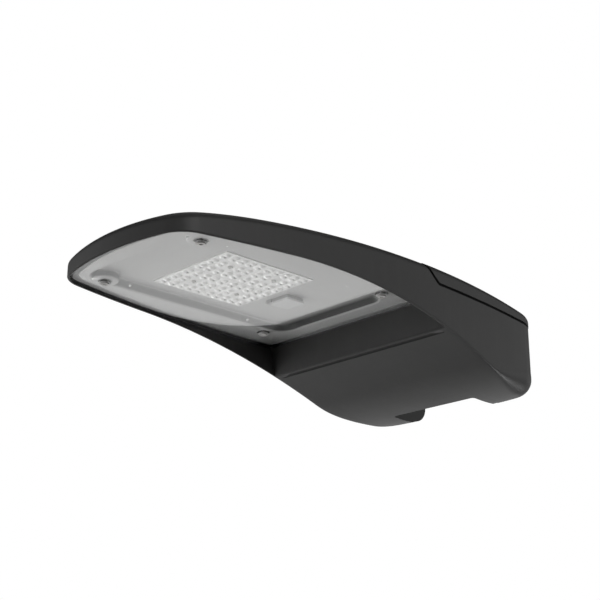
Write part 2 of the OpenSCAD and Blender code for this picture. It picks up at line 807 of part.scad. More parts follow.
// Connector block beside the light engine, with its pale cap
connector_ahead = 104;
connector_c = [lens_rear_x + connector_ahead, -6];
connector_h = 4;
cap_h = 2.4;
plug_l = 8;
plug_w = 7;
module board_connector() {
    low = [connector_c[0] - connector_l / 2 + 1, connector_c[1] - connector_w / 2 + 1,
        pan_floor_z - connector_h - touch_gap];
    color(rubber_colour)
    translate(low) {
        cube([connector_l - 2, connector_w - 2, connector_h]);
        translate([connector_l - plug_l, -plug_w, 0]) cube([plug_l, plug_w + 1, connector_h]);
    }
}

module connector_cap() {
    color(pale_colour)
    translate([connector_c[0] - connector_l / 2, connector_c[1] - connector_w / 2,
            pan_floor_z - connector_h - 2 * touch_gap - cap_h])
        cube([connector_l, connector_w, cap_h]);
}

// Wire with eight sides along a route, with its end faces square to the last runs
wire_sides = 8;
function run_of(route, i) =
    let (a = route[max(i - 1, 0)], b = route[min(i + 1, len(route) - 1)]) (b - a) / norm(b - a);
function wire_ring(c, run, r) =
    let (aside = cross(run, [0, 1, 0]), u = aside / norm(aside), v = cross(run, u))
    [for (k = [0:wire_sides - 1]) let (a = 360 * k / wire_sides) c + r * (cos(a) * u + sin(a) * v)];
module wire(route, r) {
    last = len(route) - 1;
    function at(i, k) = i * wire_sides + k % wire_sides;
    polyhedron(
        [for (i = [0:last]) each wire_ring(route[i], run_of(route, i), r)],
        concat(
            [[for (k = [wire_sides - 1:-1:0]) at(0, k)]],
            [[for (k = [0:wire_sides - 1]) at(last, k)]],
            [for (i = [0:last - 1]) for (k = [0:wire_sides - 1])
                each triangles([at(i, k), at(i, k + 1), at(i + 1, k + 1), at(i + 1, k)])]));
}

lead_r = 1.1;
lead_apart = 1.5;
lead_bend = 3;
driver_c = [gear_plate_x + gear_plate_l - 2 - driver_w / 2, 0];
gear_top_z = gear_plate_z + gear_plate_t;
module module_leads() {
    start_y = connector_c[1] - connector_w / 2 - 4;
    color([0.8, 0.1, 0.1])
    for (side = [-1, 1])
        wire([
            [connector_c[0], start_y + side * lead_apart, pan_floor_z - lead_r],
            [connector_c[0], start_y + side * lead_apart, lead_z + 2 * lead_bend],
            [gear_front_x + 10 * lead_bend, lead_y + side * lead_apart, lead_z + lead_bend],
            [gear_front_x + 7 * lead_bend, lead_y + side * lead_apart, lead_z],
            [gear_front_x - 2 * lead_bend, lead_y + side * lead_apart, lead_z],
            [gear_front_x - 2 * lead_bend, lead_y + side * lead_apart, gear_top_z + driver_h + lead_bend],
            [driver_c[0] + 7 * lead_bend, lead_y + side * lead_apart, gear_top_z + driver_h + lead_bend],
            [driver_c[0] + 7 * lead_bend, lead_y + side * lead_apart, gear_top_z + driver_h + 2 * touch_gap]],
            lead_r);
}

module gear_plate() {
    color(steel_colour)
    difference() {
        translate([gear_plate_x, -gear_plate_w / 2, gear_plate_z])
            cube([gear_plate_l, gear_plate_w, gear_plate_t]);
        for (p = gear_boss_places)
            translate([p[0], p[1], gear_plate_z - 1])
                cylinder(r = gear_hole_r, h = gear_plate_t + 2, $fn = 24);
        for (p = driver_screw_places)
            translate([p[0], p[1], gear_plate_z - 1])
                cylinder(r = gear_screw_r, h = gear_plate_t + 2, $fn = 24);
    }
}

module gear_plate_screws() {
    color(steel_colour)
    for (p = gear_boss_places)
        translate([p[0], p[1], gear_top_z + touch_gap])
            socket_screw(gear_head_r, gear_head_h, gear_screw_r - touch_gap, gear_plate_t + gear_screw_bite,
                gear_head_r * 0.4);
}

driver_foot = 8;
driver_foot_t = 2;
driver_screw_places = [for (side = [-1, 1]) [driver_c[0], side * (driver_l / 2 - driver_foot / 2)]];
module driver() {
    color([0.85, 0.85, 0.83])
    difference() {
        union() {
            translate([driver_c[0] - driver_w / 2, -driver_l / 2 + driver_foot, gear_top_z + touch_gap])
                cube([driver_w, driver_l - 2 * driver_foot, driver_h]);
            translate([driver_c[0] - driver_w / 2 + driver_foot, -driver_l / 2, gear_top_z + touch_gap])
                cube([driver_w - 2 * driver_foot, driver_l, driver_foot_t]);
        }
        for (p = driver_screw_places)
            translate([p[0], p[1], gear_top_z]) cylinder(r = gear_hole_r, h = 2 * driver_foot_t, $fn = 24);
    }
}

module driver_screws() {
    color(steel_colour)
    for (p = driver_screw_places)
        translate([p[0], p[1], gear_top_z + driver_foot_t + 2 * touch_gap])
            socket_screw(gear_head_r, gear_head_h, gear_screw_r - touch_gap, gear_plate_t + 2 * driver_foot_t,
                gear_head_r * 0.4);
}

// Surge protector and terminal block stand side by side behind the driver
gear_aisle = 5;
gear_row_x = driver_c[0] - driver_w / 2 - gear_aisle;
surge_c = [gear_row_x - surge_w / 2, gear_plate_w / 4 + gear_aisle];
module surge_protector() {
    color([0.8, 0.8, 0.8])
    translate([surge_c[0] - surge_w / 2, surge_c[1] - surge_l / 2, gear_top_z + touch_gap])
        cube([surge_w, surge_l, surge_h]);
}

terminal_c = [gear_row_x - surge_w / 2, -gear_plate_w / 4 - gear_aisle];
terminal_wire_r = 4;
terminal_wire_depth = 8;
module terminal_block() {
    ways = 3;
    pitch = terminal_l / (ways + 0.5);
    color([0.9, 0.9, 0.88])
    difference() {
        translate([terminal_c[0] - terminal_w / 2, terminal_c[1] - terminal_l / 2, gear_top_z + touch_gap])
            cube([terminal_w, terminal_l, terminal_h]);
        for (i = [0:ways - 1])
            translate([terminal_c[0], terminal_c[1] + (i - (ways - 1) / 2) * pitch,
                    gear_top_z + terminal_h - terminal_wire_depth])
                cylinder(r = terminal_wire_r, h = terminal_h, $fn = 24);
    }
}

module ground_screw() {
    color([0.2, 0.55, 0.25])
    translate([ground_place[0], ground_place[1], ground_boss_top + touch_gap])
        socket_screw(gear_head_r, gear_head_h, ground_screw_r - touch_gap, blind / 2 - 1, gear_head_r * 0.4);
}

// Grommet in the wire hole: its outer lip lies in a recess, flush with the mounting face
grommet_lip = 2.5;
grommet_edge = 2;
module wire_grommet() {
    color(rubber_colour)
    rotate([0, 90, 0]) rotate_extrude($fn = 64) translate([cable_bore_r, 0]) {
        translate([0, touch_gap])
            square([wire_hole_r - touch_gap - cable_bore_r, mount_wall_t + grommet_lip - touch_gap]);
        for (z = [touch_gap, mount_wall_t + touch_gap])
            translate([0, z])
                square([wire_hole_r + grommet_edge - cable_bore_r, grommet_lip - 2 * touch_gap]);
    }
}

housing();
rear_cover();
cover_gasket();
cover_screws();
glass_lens();
lens_gasket();
lens_washers();
lens_screws();
reflector_tray();
tray_rivets();
led_board();
led_packages();
optic_plate(plate_places[0]);  // optic_plate_1
optic_plate(plate_places[1]);  // optic_plate_2
optic_plate(plate_places[2]);  // optic_plate_3
optic_plate(plate_places[3]);  // optic_plate_4
optic_screws();
board_connector();
connector_cap();
module_leads();
gear_plate();
gear_plate_screws();
driver();
driver_screws();
surge_protector();
terminal_block();
ground_screw();
wire_grommet();
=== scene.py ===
# %% [markdown]
# # LED area light
# A slim cast head that bolts to a pole or an arm, seen from below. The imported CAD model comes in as
# a fixed frame, and this notebook dresses it: finer meshes for the pieces that show, and a finish
# for every piece. All sizes below are millimetres and become metres where a mesh is made.

# %% Load the frame
import math
import bpy
import numpy as np
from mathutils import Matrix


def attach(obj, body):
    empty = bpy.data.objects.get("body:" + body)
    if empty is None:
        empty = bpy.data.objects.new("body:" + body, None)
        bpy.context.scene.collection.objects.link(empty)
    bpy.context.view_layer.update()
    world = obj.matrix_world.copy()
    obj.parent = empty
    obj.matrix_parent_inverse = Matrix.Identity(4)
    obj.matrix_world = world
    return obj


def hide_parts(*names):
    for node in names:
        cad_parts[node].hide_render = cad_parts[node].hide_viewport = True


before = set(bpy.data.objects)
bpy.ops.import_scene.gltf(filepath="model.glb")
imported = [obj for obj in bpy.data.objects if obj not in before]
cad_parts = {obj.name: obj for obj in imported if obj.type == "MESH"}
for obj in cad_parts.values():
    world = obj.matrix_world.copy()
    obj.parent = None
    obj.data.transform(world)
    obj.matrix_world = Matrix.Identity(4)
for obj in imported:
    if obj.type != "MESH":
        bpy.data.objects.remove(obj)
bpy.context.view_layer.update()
MM = 0.001

# %% [markdown]
# ## Meshes from arrays
# Every new piece is a set of points worked out with numpy and faces that join them. A solid is
# mostly a stack of closed rings with equal numbers of points, so one function joins the rings, and
# another puts points and faces into a mesh without a Python loop over the vertices.

# %% Points and faces to an object
def make_object(name, points, faces, smooth_deg=35.0):
    """points is an (n, 3) array in mm, and faces a list of (k, corners) index arrays."""
    mesh = bpy.data.meshes.new(name)
    faces = [np.asarray(f, dtype=np.int32) for f in faces if len(f)]
    sizes = np.concatenate([np.full(len(f), f.shape[1], dtype=np.int32) for f in faces])
    corners = np.concatenate([f.ravel() for f in faces])
    mesh.vertices.add(len(points))
    mesh.vertices.foreach_set("co", (np.asarray(points, dtype=float) * MM).ravel())
    mesh.loops.add(len(corners))
    mesh.loops.foreach_set("vertex_index", corners)
    mesh.polygons.add(len(sizes))
    mesh.polygons.foreach_set("loop_start", np.concatenate([[0], np.cumsum(sizes)[:-1]]))
    mesh.update(calc_edges=True)
    mesh.validate()
    obj = bpy.data.objects.new(name, mesh)
    bpy.context.scene.collection.objects.link(obj)
    smooth(obj, smooth_deg)
    return obj


def smooth(obj, degrees):
    """Smooth shading, with edges sharper than the angle left crisp."""
    obj.data.polygons.foreach_set("use_smooth", np.ones(len(obj.data.polygons), dtype=bool))
    obj.data.set_sharp_from_angle(angle=math.radians(degrees))
    obj.data.update()

# %% Quads between rings
def strips(rows, count, wrap_rows=False, start=0):
    """Quads between neighbouring rings of count points; point k of ring r has index start + r * count + k."""
    i = np.arange(count)
    j = (i + 1) % count
    last = rows if wrap_rows else rows - 1
    a = np.arange(last)[:, None] * count + start
    b = (np.arange(1, last + 1) % rows)[:, None] * count + start
    return np.stack([a + i, a + j, b + j, b + i], axis=-1).reshape(-1, 4)


def lift(loop, z):
    """A flat loop (n, 2) at the height z, which may differ from point to point."""
    return np.column_stack([loop, np.broadcast_to(z, len(loop))])

# %% [markdown]
# A solid made from rings needs its two ends closed. A flat face does it where the end is flat. The
# casting's ends are curved, so there rungs join the left half of the ring to the right half, which
# keeps the faces small and close to the curve.

# %% Solids from rings
def capped(name, rings, smooth_deg=35.0):
    """Rings from low to high, closed by one flat face at each end."""
    n = len(rings[0])
    low = np.arange(n)[::-1][None, :]
    high = (np.arange(n) + (len(rings) - 1) * n)[None, :]
    return make_object(name, np.concatenate(rings), [strips(len(rings), n), low, high], smooth_deg)


def looped(name, rings, smooth_deg=35.0):
    """Rings that close on themselves, as round a hole."""
    return make_object(name, np.concatenate(rings), [strips(len(rings), len(rings[0]), True)], smooth_deg)


def laddered(name, rings, smooth_deg=35.0):
    """Rings of a shape that mirrors across y = 0, closed at both ends by rungs between its halves."""
    n, top = len(rings[0]), (len(rings) - 1) * len(rings[0])
    a = np.arange(1, n // 2 - 1)
    b = n - a
    ends = np.array([[0, n - 1, 1], [n // 2 - 1, n // 2 + 1, n // 2]])
    rungs = np.stack([a, b, b - 1, a + 1], axis=-1)
    return make_object(name, np.concatenate(rings),
        [strips(len(rings), n), rungs, ends, rungs[:, ::-1] + top, ends[:, ::-1] + top], smooth_deg)

# %% [markdown]
# ## Cutting
# A casting is a skin with pockets, windows and holes cut into it. Boolean modifiers do that here,
# applied at once so that the finished piece is a plain mesh. The cutters carry the fillets, so the
# cut edges come out rounded where the real ones are.

# %% Carve
def carve(obj, cutters, how="DIFFERENCE", smooth_deg=35.0):
    for cutter in cutters:
        cut = obj.modifiers.new("cut", "BOOLEAN")
        cut.operation = how
        cut.solver = "EXACT"
        cut.object = cutter
        graph = bpy.context.evaluated_depsgraph_get()
        new = bpy.data.meshes.new_from_object(obj.evaluated_get(graph))
        obj.modifiers.remove(cut)
        old = obj.data
        obj.data = new
        bpy.data.meshes.remove(old)
        bpy.data.objects.remove(cutter)
    smooth(obj, smooth_deg)
    return obj

# %% Simple cutters
def circle(centre, r, count=48):
    a = np.linspace(0, 2 * math.pi, count, endpoint=False)
    return np.column_stack([centre[0] + r * np.cos(a), centre[1] + r * np.sin(a)])


def post(centre, r, z0, z1, count=48):
    """An upright cylinder."""
    loop = circle(centre, r, count)
    return capped("post", [lift(loop, z0), lift(loop, z1)])


def along_x(points):
    """Turns a piece drawn along +Z so that it runs along +X."""
    return points[:, [2, 0, 1]]


def side_prism(outline, half_width):
    """A prism across the body from an outline (x, z) drawn counter-clockwise in side view."""
    flip = np.asarray(outline, dtype=float)[::-1]
    rings = [np.column_stack([flip[:, 0], np.full(len(flip), y), flip[:, 1]]) for y in (-half_width, half_width)]
    n = len(flip)
    return make_object("prism", np.concatenate(rings),
        [strips(2, n), np.arange(n)[::-1][None, :], (np.arange(n) + n)[None, :]])


def block(low, high):
    outline = np.array([[low[0], low[1]], [high[0], low[1]], [high[0], high[1]], [low[0], high[1]]])
    return capped("block", [lift(outline, low[2]), lift(outline, high[2])])

# %% [markdown]
# ## The plan of the body
# Seen from above the casting is five kinds of arc: the nose, its corners, the long sides, the rear
# corners and the rear. Each point keeps its outward direction, so an inset line is the same arcs
# with other radii, which is how a drawing office offsets such a shape.

# %% Sizes of the plan
BODY_W, NOSE_REACH, REAR_REACH, WIDEST_X = 306.0, 539.0, 73.0, 163.0
SIDE_R, NOSE_R, NOSE_CORNER_R, REAR_R, REAR_CORNER_R = 1480.0, 330.0, 40.0, 620.0, 52.0
LENS_Z, RIM_DROP, RIM_T, WALL_T, ROOF_T = 36.0, 3.0, 3.2, 4.0, 3.5
LENS_REAR_X, LENS_T = 158.0, 4.0
LEDGE_Z = LENS_Z + LENS_T + 2.0

# %% Centres of the arcs
def circles_meet(c1, r1, c2, r2, turn):
    """One of the two points at the distances r1 and r2 from the centres c1 and c2."""
    span = np.hypot(*(c2 - c1))
    along = (r1 * r1 - r2 * r2 + span * span) / (2 * span)
    unit = (c2 - c1) / span
    return c1 + along * unit + turn * math.sqrt(r1 * r1 - along * along) * np.array([-unit[1], unit[0]])


side_c = np.array([WIDEST_X, BODY_W / 2 - SIDE_R])
nose_c = np.array([NOSE_REACH - NOSE_R, 0.0])
rear_c = np.array([REAR_R - REAR_REACH, 0.0])
nose_corner_c = circles_meet(nose_c, NOSE_R - NOSE_CORNER_R, side_c, SIDE_R - NOSE_CORNER_R, 1)
rear_corner_c = circles_meet(rear_c, REAR_R - REAR_CORNER_R, side_c, SIDE_R - REAR_CORNER_R, -1)


def heading(a, b):
    return math.atan2(b[1] - a[1], b[0] - a[0])

# %% Points of the plan
def half_plan():
    """Points of the +Y half from the nose tip to the rear end, with their outward directions."""
    arcs = [(nose_c, NOSE_R, 26), (nose_corner_c, NOSE_CORNER_R, 22), (side_c, SIDE_R, 96),
        (rear_corner_c, REAR_CORNER_R, 30), (rear_c, REAR_R, 13)]
    meets = [0, heading(nose_c, nose_corner_c), heading(side_c, nose_corner_c), heading(side_c, rear_corner_c),
        heading(rear_c, rear_corner_c), math.pi]
    points, outward = [], []
    for (c, r, steps), start, end in zip(arcs, meets, meets[1:]):
        a = np.linspace(start, end, steps + (end == math.pi), endpoint=end == math.pi)
        n = np.column_stack([np.cos(a), np.sin(a)])
        points.append(c + r * n)
        outward.append(n)
    return np.concatenate(points), np.concatenate(outward)


half_points, half_outward = half_plan()
half_points[-1, 1] = 0.0
half_outward[-1] = [-1.0, 0.0]
mirror = np.array([1.0, -1.0])
PLAN = np.concatenate([half_points, half_points[-2:0:-1] * mirror])
OUTWARD = np.concatenate([half_outward, half_outward[-2:0:-1] * mirror])
print("plan points:", len(PLAN))


def plan(inset):
    return PLAN - np.reshape(inset, (-1, 1)) * OUTWARD


def arc_points(c, r, start_deg, end_deg, count):
    a = np.radians(np.linspace(start_deg, end_deg, count))
    return np.column_stack([c[0] + r * np.cos(a), c[1] + r * np.sin(a)])

# %% [markdown]
# ## Heights
# The top is a shallow crown: a long radius along the body and a shorter one across it, with a
# little extra dip at the nose. The lower edge of the sides starts level with the rim, deepens in
# one long arc and turns back into the flat underside of the rear lobes.

# %% Top and belly
TOP_H, TOP_X, TOP_LONG_R, CROWN_R, EDGE_R = 50.2, 223.0, 2100.0, 810.0, 8.0
NOSE_DIP, NOSE_DIP_X = 6.0, 400.0
SKIRT_X, BELLY_R, TURN_X, OUT_R = 384.0, 830.0, 73.0, 271.0
turn_angle = math.asin((SKIRT_X - TURN_X) / BELLY_R)
turn_z = LENS_Z - RIM_DROP - BELLY_R * (1 - math.cos(turn_angle))
low_x = TURN_X - OUT_R * math.sin(turn_angle)
low_z = turn_z - OUT_R * (1 - math.cos(turn_angle))


def top_z(p):
    dip = NOSE_DIP * (np.maximum(p[:, 0] - NOSE_DIP_X, 0) / (NOSE_REACH - NOSE_DIP_X)) ** 3
    return LENS_Z + TOP_H - (p[:, 0] - TOP_X) ** 2 / (2 * TOP_LONG_R) - p[:, 1] ** 2 / (2 * CROWN_R) - dip


def belly_z(x):
    x = np.asarray(x, dtype=float)
    first = LENS_Z - RIM_DROP - BELLY_R + np.sqrt(BELLY_R ** 2 - (SKIRT_X - np.clip(x, TURN_X, SKIRT_X)) ** 2)
    second = low_z + OUT_R - np.sqrt(OUT_R ** 2 - (np.minimum(x, TURN_X) - low_x) ** 2)
    return np.where(x > TURN_X, first, second)


def ease(t):
    t = np.clip(t, 0, 1)
    return t * t * (3 - 2 * t)


SPINE_NOSE, SPINE_REAR = NOSE_REACH - 130, 70.0


def toward_spine(loop, share):
    """Moves a loop towards the line y = 0; at share 1 it would lie on that line."""
    spine = np.column_stack([np.clip(loop[:, 0], SPINE_REAR, SPINE_NOSE), np.zeros(len(loop))])
    return loop * (1 - share) + spine * share

print("belly is lowest at x", round(low_x, 1), "z", round(float(low_z), 1))

# %% [markdown]
# ## The outer skin
# Housing and cover share one skin. It rises in rings: a crisp ridge between belly and side, which
# swells into a full radius round the rear lobes; a faint shoulder over each lobe, where the side
# stands back by a quarter of a millimetre; the wall; the rounded upper edge; and the crown.

# %% Skin rings
RIDGE_R, LOBE_R = 2.0, 22.0
RIDGE_END_X, LOBE_FULL_X = 66.0, -30.0
SHOULDER_Z, SHOULDER, SHOULDER_H = -30.0, 0.25, 8.0
CROWN_SHARES = [0.05, 0.12, 0.2, 0.3, 0.4, 0.5, 0.6, 0.7, 0.8, 0.88, 0.95]


def skin_rings(proud=0.0):
    edge = plan(-proud)
    x = edge[:, 0]
    share = ease((RIDGE_END_X - x) / (RIDGE_END_X - LOBE_FULL_X))
    r = RIDGE_R + (LOBE_R - RIDGE_R) * share
    back = SHOULDER * share - proud
    low = belly_z(x)
    rings = []
    for s in CROWN_SHARES[::-1]:
        loop = toward_spine(plan(r - proud), s)
        rings.append(lift(loop, belly_z(loop[:, 0])))
    for a in np.radians(np.linspace(0, 90, 12)):
        rings.append(lift(plan(r * (1 - math.sin(a)) - proud), low + r * (1 - math.cos(a))))
    foot = np.maximum(low + r + 1, SHOULDER_Z)
    for t in (0.0, 0.12, 0.3, 0.5, 0.7, 0.88, 1.0):
        rings.append(lift(plan(SHOULDER * share * float(ease(t)) - proud), foot + SHOULDER_H * (0.2 + 0.6 * t)))
    start = foot + SHOULDER_H
    end = top_z(plan(back)) + proud - EDGE_R
    for t in (0.05, 0.25, 0.5, 0.75, 0.95):
        rings.append(lift(plan(back), start + (end - start) * t))
    for a in np.radians(np.linspace(0, 90, 12)):
        loop = plan(back + EDGE_R * (1 - math.cos(a)))
        rings.append(lift(loop, top_z(loop) + proud - EDGE_R * (1 - math.sin(a))))
    for s in CROWN_SHARES:
        loop = toward_spine(plan(back + EDGE_R), s)
        rings.append(lift(loop, top_z(loop) + proud))
    return rings

# %% Hollow rings
def hollow_rings(wall, floor):
    """The space inside the walls, up to one roof thickness under the skin."""
    loop = plan(wall)
    inner = plan(wall + EDGE_R)
    rings = [lift(loop, floor), lift(loop, top_z(loop) - EDGE_R / 2), lift(inner, top_z(inner) - ROOF_T)]
    for s in (0.1, 0.3, 0.5, 0.7, 0.9):
        step = toward_spine(inner, s)
        rings.append(lift(step, top_z(step) - ROOF_T))
    return rings

# %% [markdown]
# ## Parting line of the rear cover
# In side view the cover meets the casting on a nearly level line that turns up at about 42 degrees
# through a soft corner. The gap shows as a dark line, because the gasket and seal in it are black.

# %% Cover outline in side view
SEAM_FRONT_H, SEAM_REAR_H, SEAM_X, SEAM_DEG, SEAM_GAP, SEAM_R = 16.0, 9.2, 160.0, 42.0, 3.2, 6.0
COVER_PROUD = 0.6
seam_slope = (SEAM_FRONT_H - SEAM_REAR_H) / (SEAM_X + REAR_REACH)


def seam_z(x):
    return LENS_Z + SEAM_FRONT_H + (x - SEAM_X) * seam_slope


def cover_outline(grow=0.0, high=140.0):
    """Level line, rounded corner and slope, moved down and forward by grow."""
    base = math.atan(seam_slope)
    rise = math.radians(SEAM_DEG)
    half = (rise - base) / 2
    reach = SEAM_R * math.tan(half)
    corner = np.array([SEAM_X, seam_z(SEAM_X)])
    level, upright = np.array([math.cos(base), math.sin(base)]), np.array([-math.sin(base), math.cos(base)])
    centre = corner - reach * level + SEAM_R * upright
    bend = arc_points(centre, SEAM_R + grow, math.degrees(base) - 90, SEAM_DEG - 90, 9)
    end = bend[-1] + (high - bend[-1, 1]) / math.sin(rise) * np.array([math.cos(rise), math.sin(rise)])
    rear = bend[0] + (-200 - bend[0, 0]) * np.array([1, seam_slope])
    return np.concatenate([[[-200, high], rear], bend, [end]])

# %% [markdown]
# ## Housing
# The real piece is one die casting. The skin is cut by the cover's region, the recess under the lens
# with the riser behind it, the groove, the two pockets, the notch for the arm and the holes.

# %% Sizes of the underside
NOTCH_W, NOTCH_TOP, NOTCH_CORNER_R, MOUNT_WALL = 142.0, 38.0, 5.0, 8.0
BOLT_SPACING, BOLT_R, WIRE_R = 50.0, 6.5, 11.0
RIM_FILLET, LIP, LIP_R = 0.7, (147.6, 1.4), 2.4
CUT_REAR, CUT_LOW, CUT_NOSE, CUT_HALF_W = -300.0, -200.0, 700.0, 220.0  # well past the body

# %% Recess and riser
def lens_recess():
    """Follows the rim's inner line; its mouth flares in a small fillet along the rim's lower edge."""
    mouth = belly_z(PLAN[:, 0])
    f = RIM_FILLET
    rings = [lift(plan(RIM_T - f - 0.3), mouth - 160)]
    for a in np.radians(np.linspace(0, 90, 5)):
        rings.append(lift(plan(RIM_T - f * (1 - math.sin(a))), mouth + f * (1 - math.cos(a)) - 0.01))
    rings += [lift(plan(RIM_T), LEDGE_Z - 1), lift(plan(RIM_T), LEDGE_Z)]
    recess = laddered("recess", rings)
    riser = np.concatenate([[[LENS_REAR_X, LEDGE_Z + 5], [LENS_REAR_X, LENS_Z]], arc_points(LIP, LIP_R, -17, -80, 7),
        [[LIP[0], -260], [CUT_NOSE, -260], [CUT_NOSE, LEDGE_Z + 5]]])
    return carve(recess, [side_prism(riser, 200)], "INTERSECT")

# %% Groove
GROOVE_X, GROOVE_HALF_W, GROOVE_D, GROOVE_END_Y, GROOVE_FADE = 142.6, 2.6, 3.0, 142.5, 26.0


def groove():
    """A round channel across the body just behind the riser's lip; it runs out before the side ridges."""
    y = np.concatenate([[-141], np.linspace(-140, -112, 12), np.linspace(112, 140, 12), [141]])
    depth = (GROOVE_D + 0.4) * ease((GROOVE_END_Y - np.abs(y)) / GROOVE_FADE) - 0.4
    a = np.radians(np.linspace(0, 360, 32, endpoint=False))
    x, z = GROOVE_X + GROOVE_HALF_W * np.cos(a), np.sin(a)
    base = float(belly_z(GROOVE_X))
    rings = [np.column_stack([x, np.full(len(a), v), base + z * np.where(z > 0, d, 6.0)])
        for v, d in zip(y, np.maximum(depth, 0.02))]
    return capped("groove", [r[::-1] for r in rings])

# %% Notch
def notch():
    """A slot that is open to the rear and below, with rounded upright corners."""
    h, f = NOTCH_W / 2, NOTCH_CORNER_R
    outline = np.concatenate([[[CUT_REAR, -h]], arc_points((-f, -h + f), f, -90, 0, 7),
        arc_points((-f, h - f), f, 0, 90, 7), [[CUT_REAR, h]]])
    return capped("notch", [lift(outline, CUT_LOW), lift(outline, NOTCH_TOP)])

# %% Pockets
lens_screws = [(LENS_REAR_X + x, side * y) for side in (1, -1) for x, y in ((53, 105.5), (318.7, 88))]
BOSS_R = 8.0


def light_pocket():
    pocket = laddered("light_pocket", hollow_rings(RIM_T + 14, LEDGE_Z - 1))
    bosses = [post(p, BOSS_R, LENS_Z + LENS_T + 0.1, 130) for p in lens_screws]
    return carve(pocket, [block((CUT_REAR, -200, -100), (LENS_REAR_X + 14, 200, 200))] + bosses)


def gear_pocket():
    loop = plan(WALL_T)
    rings = []
    for step in (toward_spine(loop, s) for s in (0.9, 0.6, 0.3, 0.0)):
        rings.append(lift(step, np.maximum(low_z + LOBE_R * 0.7, belly_z(step[:, 0]) + WALL_T + 1)))
    pocket = laddered("gear_pocket", rings + [lift(loop, 75)])
    wall = NOTCH_W / 2 + WALL_T
    keep = block((CUT_REAR, -wall, CUT_LOW), (MOUNT_WALL, wall, NOTCH_TOP + WALL_T))
    front, foot = LENS_REAR_X - 8, LENS_REAR_X - 19
    ahead = side_prism([[front, 120], [front, LENS_Z], [foot, 0], [foot, CUT_LOW], [CUT_NOSE, CUT_LOW],
        [CUT_NOSE, 120]], CUT_HALF_W)
    return carve(pocket, [keep, ahead])

# %% [markdown]
# With its cutters ready the casting takes one call. The holes in the mounting wall are upright posts
# turned to lie along X: two for the bolts, and a stepped one for the wire.

# %% Cast the housing
housing = laddered("housing_casting", skin_rings())
bolt_z, far = BOLT_SPACING / 2, MOUNT_WALL + 20
mounting_holes = [capped("hole", [along_x(lift(circle((0, z), r), s)) for s in (-30, depth)]) for z, r, depth in
    ((-bolt_z, BOLT_R, far), (bolt_z, BOLT_R, far), (0, WIRE_R, far), (0, WIRE_R + 2.3, 2.5))]
carve(housing, [side_prism(cover_outline(SEAM_GAP), CUT_HALF_W), lens_recess(), groove(), light_pocket(),
    gear_pocket(), notch()] + mounting_holes)
print("housing faces:", len(housing.data.polygons))

# %% [markdown]
# ## Rear cover
# The cover is cut from the same skin, set 0.6 mm proud, so that its edge reads as a separate piece.
# Its inside is hollow and its four screws sit in counterbores.

# %% Cover
cover_screws = [(130, 124), (-18, 102), (130, -124), (-18, -102)]
HEAD_DROP, HEAD_R = 6.0, 4.6
cover = laddered("cover_casting", skin_rings(COVER_PROUD))
carve(cover, [side_prism(cover_outline(), CUT_HALF_W)], "INTERSECT")
inside = laddered("cover_hollow", hollow_rings(WALL_T, -40))
front_x = LENS_REAR_X - 4
behind = side_prism([[CUT_REAR, -100], [front_x, -100], [front_x, seam_z(front_x)],
    [front_x + 66, seam_z(front_x) + 60], [CUT_REAR, seam_z(front_x) + 60]], CUT_HALF_W)
carve(inside, [behind], "INTERSECT")
carve(inside, [post(p, 8, seam_z(p[0]) + 0.3, 140) for p in cover_screws])
carve(cover, [inside])
heads = [float(top_z(np.array([p]))[0]) - HEAD_DROP for p in cover_screws]
carve(cover, [post(p, 3, 20, 140) for p in cover_screws]
    + [post(p, HEAD_R + 1, z, 140) for p, z in zip(cover_screws, heads)])
print("cover faces:", len(cover.data.polygons))

# %% [markdown]
# A black seal closes the gap behind the parting line. It is a strip of the same skin, set back by
# 1.4 mm, so the gap stays a groove and no light comes through where it runs out at the edges.

# %% Seal in the parting line
SEAL_BACK, SEAL_PLAY = 1.4, 0.02
seam_seal = laddered("seam_seal", skin_rings(-SEAL_BACK))
carve(seam_seal, [side_prism(cover_outline(SEAM_GAP - SEAL_PLAY), CUT_HALF_W)], "INTERSECT")
carve(seam_seal, [side_prism(cover_outline(SEAL_PLAY), CUT_HALF_W),
    laddered("seal_hollow", hollow_rings(WALL_T, -40))])
print("seal faces:", len(seam_seal.data.polygons))

# %% [markdown]
# ## Lens
# A flat pane of 4 mm toughened glass fills the rim. Its outline is the plan inset by the rim and a
# small gap, cut straight at the riser. A ground edge of 0.5 mm catches a thin line of light.

# %% Pane
def clipped(inset, rear_x):
    """The inset plan with everything behind rear_x laid out evenly along a straight rear edge."""
    loop = plan(inset)
    half = len(loop) // 2
    upper = loop[:half + 1].copy()
    behind = upper[:, 0] < rear_x
    first = int(np.argmax(behind))
    a, b = upper[first - 1], upper[first]
    corner_y = a[1] + (b[1] - a[1]) * (a[0] - rear_x) / (a[0] - b[0])
    upper[behind, 0] = rear_x
    upper[behind, 1] = np.linspace(corner_y, 0, int(behind.sum()))
    return np.concatenate([upper, upper[-2:0:-1] * mirror])


BEVEL, PANE_GAP = 0.5, 0.5
lens = capped("lens_pane", [lift(clipped(RIM_T + PANE_GAP + b, LENS_REAR_X + PANE_GAP + b), z) for b, z in
    ((BEVEL, LENS_Z), (0, LENS_Z + BEVEL), (0, LENS_Z + LENS_T - BEVEL), (BEVEL, LENS_Z + LENS_T))])
print("pane corners:", len(lens.data.vertices))

# %% [markdown]
# ## Reflector tray
# The tray is drawn from one sheet of pale coated metal: a flange against the lens seal, walls that
# slope into a shallow pan with rounded bends, a window for the optics and round forms that clear
# the two front screw bosses. A pan solid gives the outer side and a second one, 1.5 mm inside it,
# takes the hollow out.

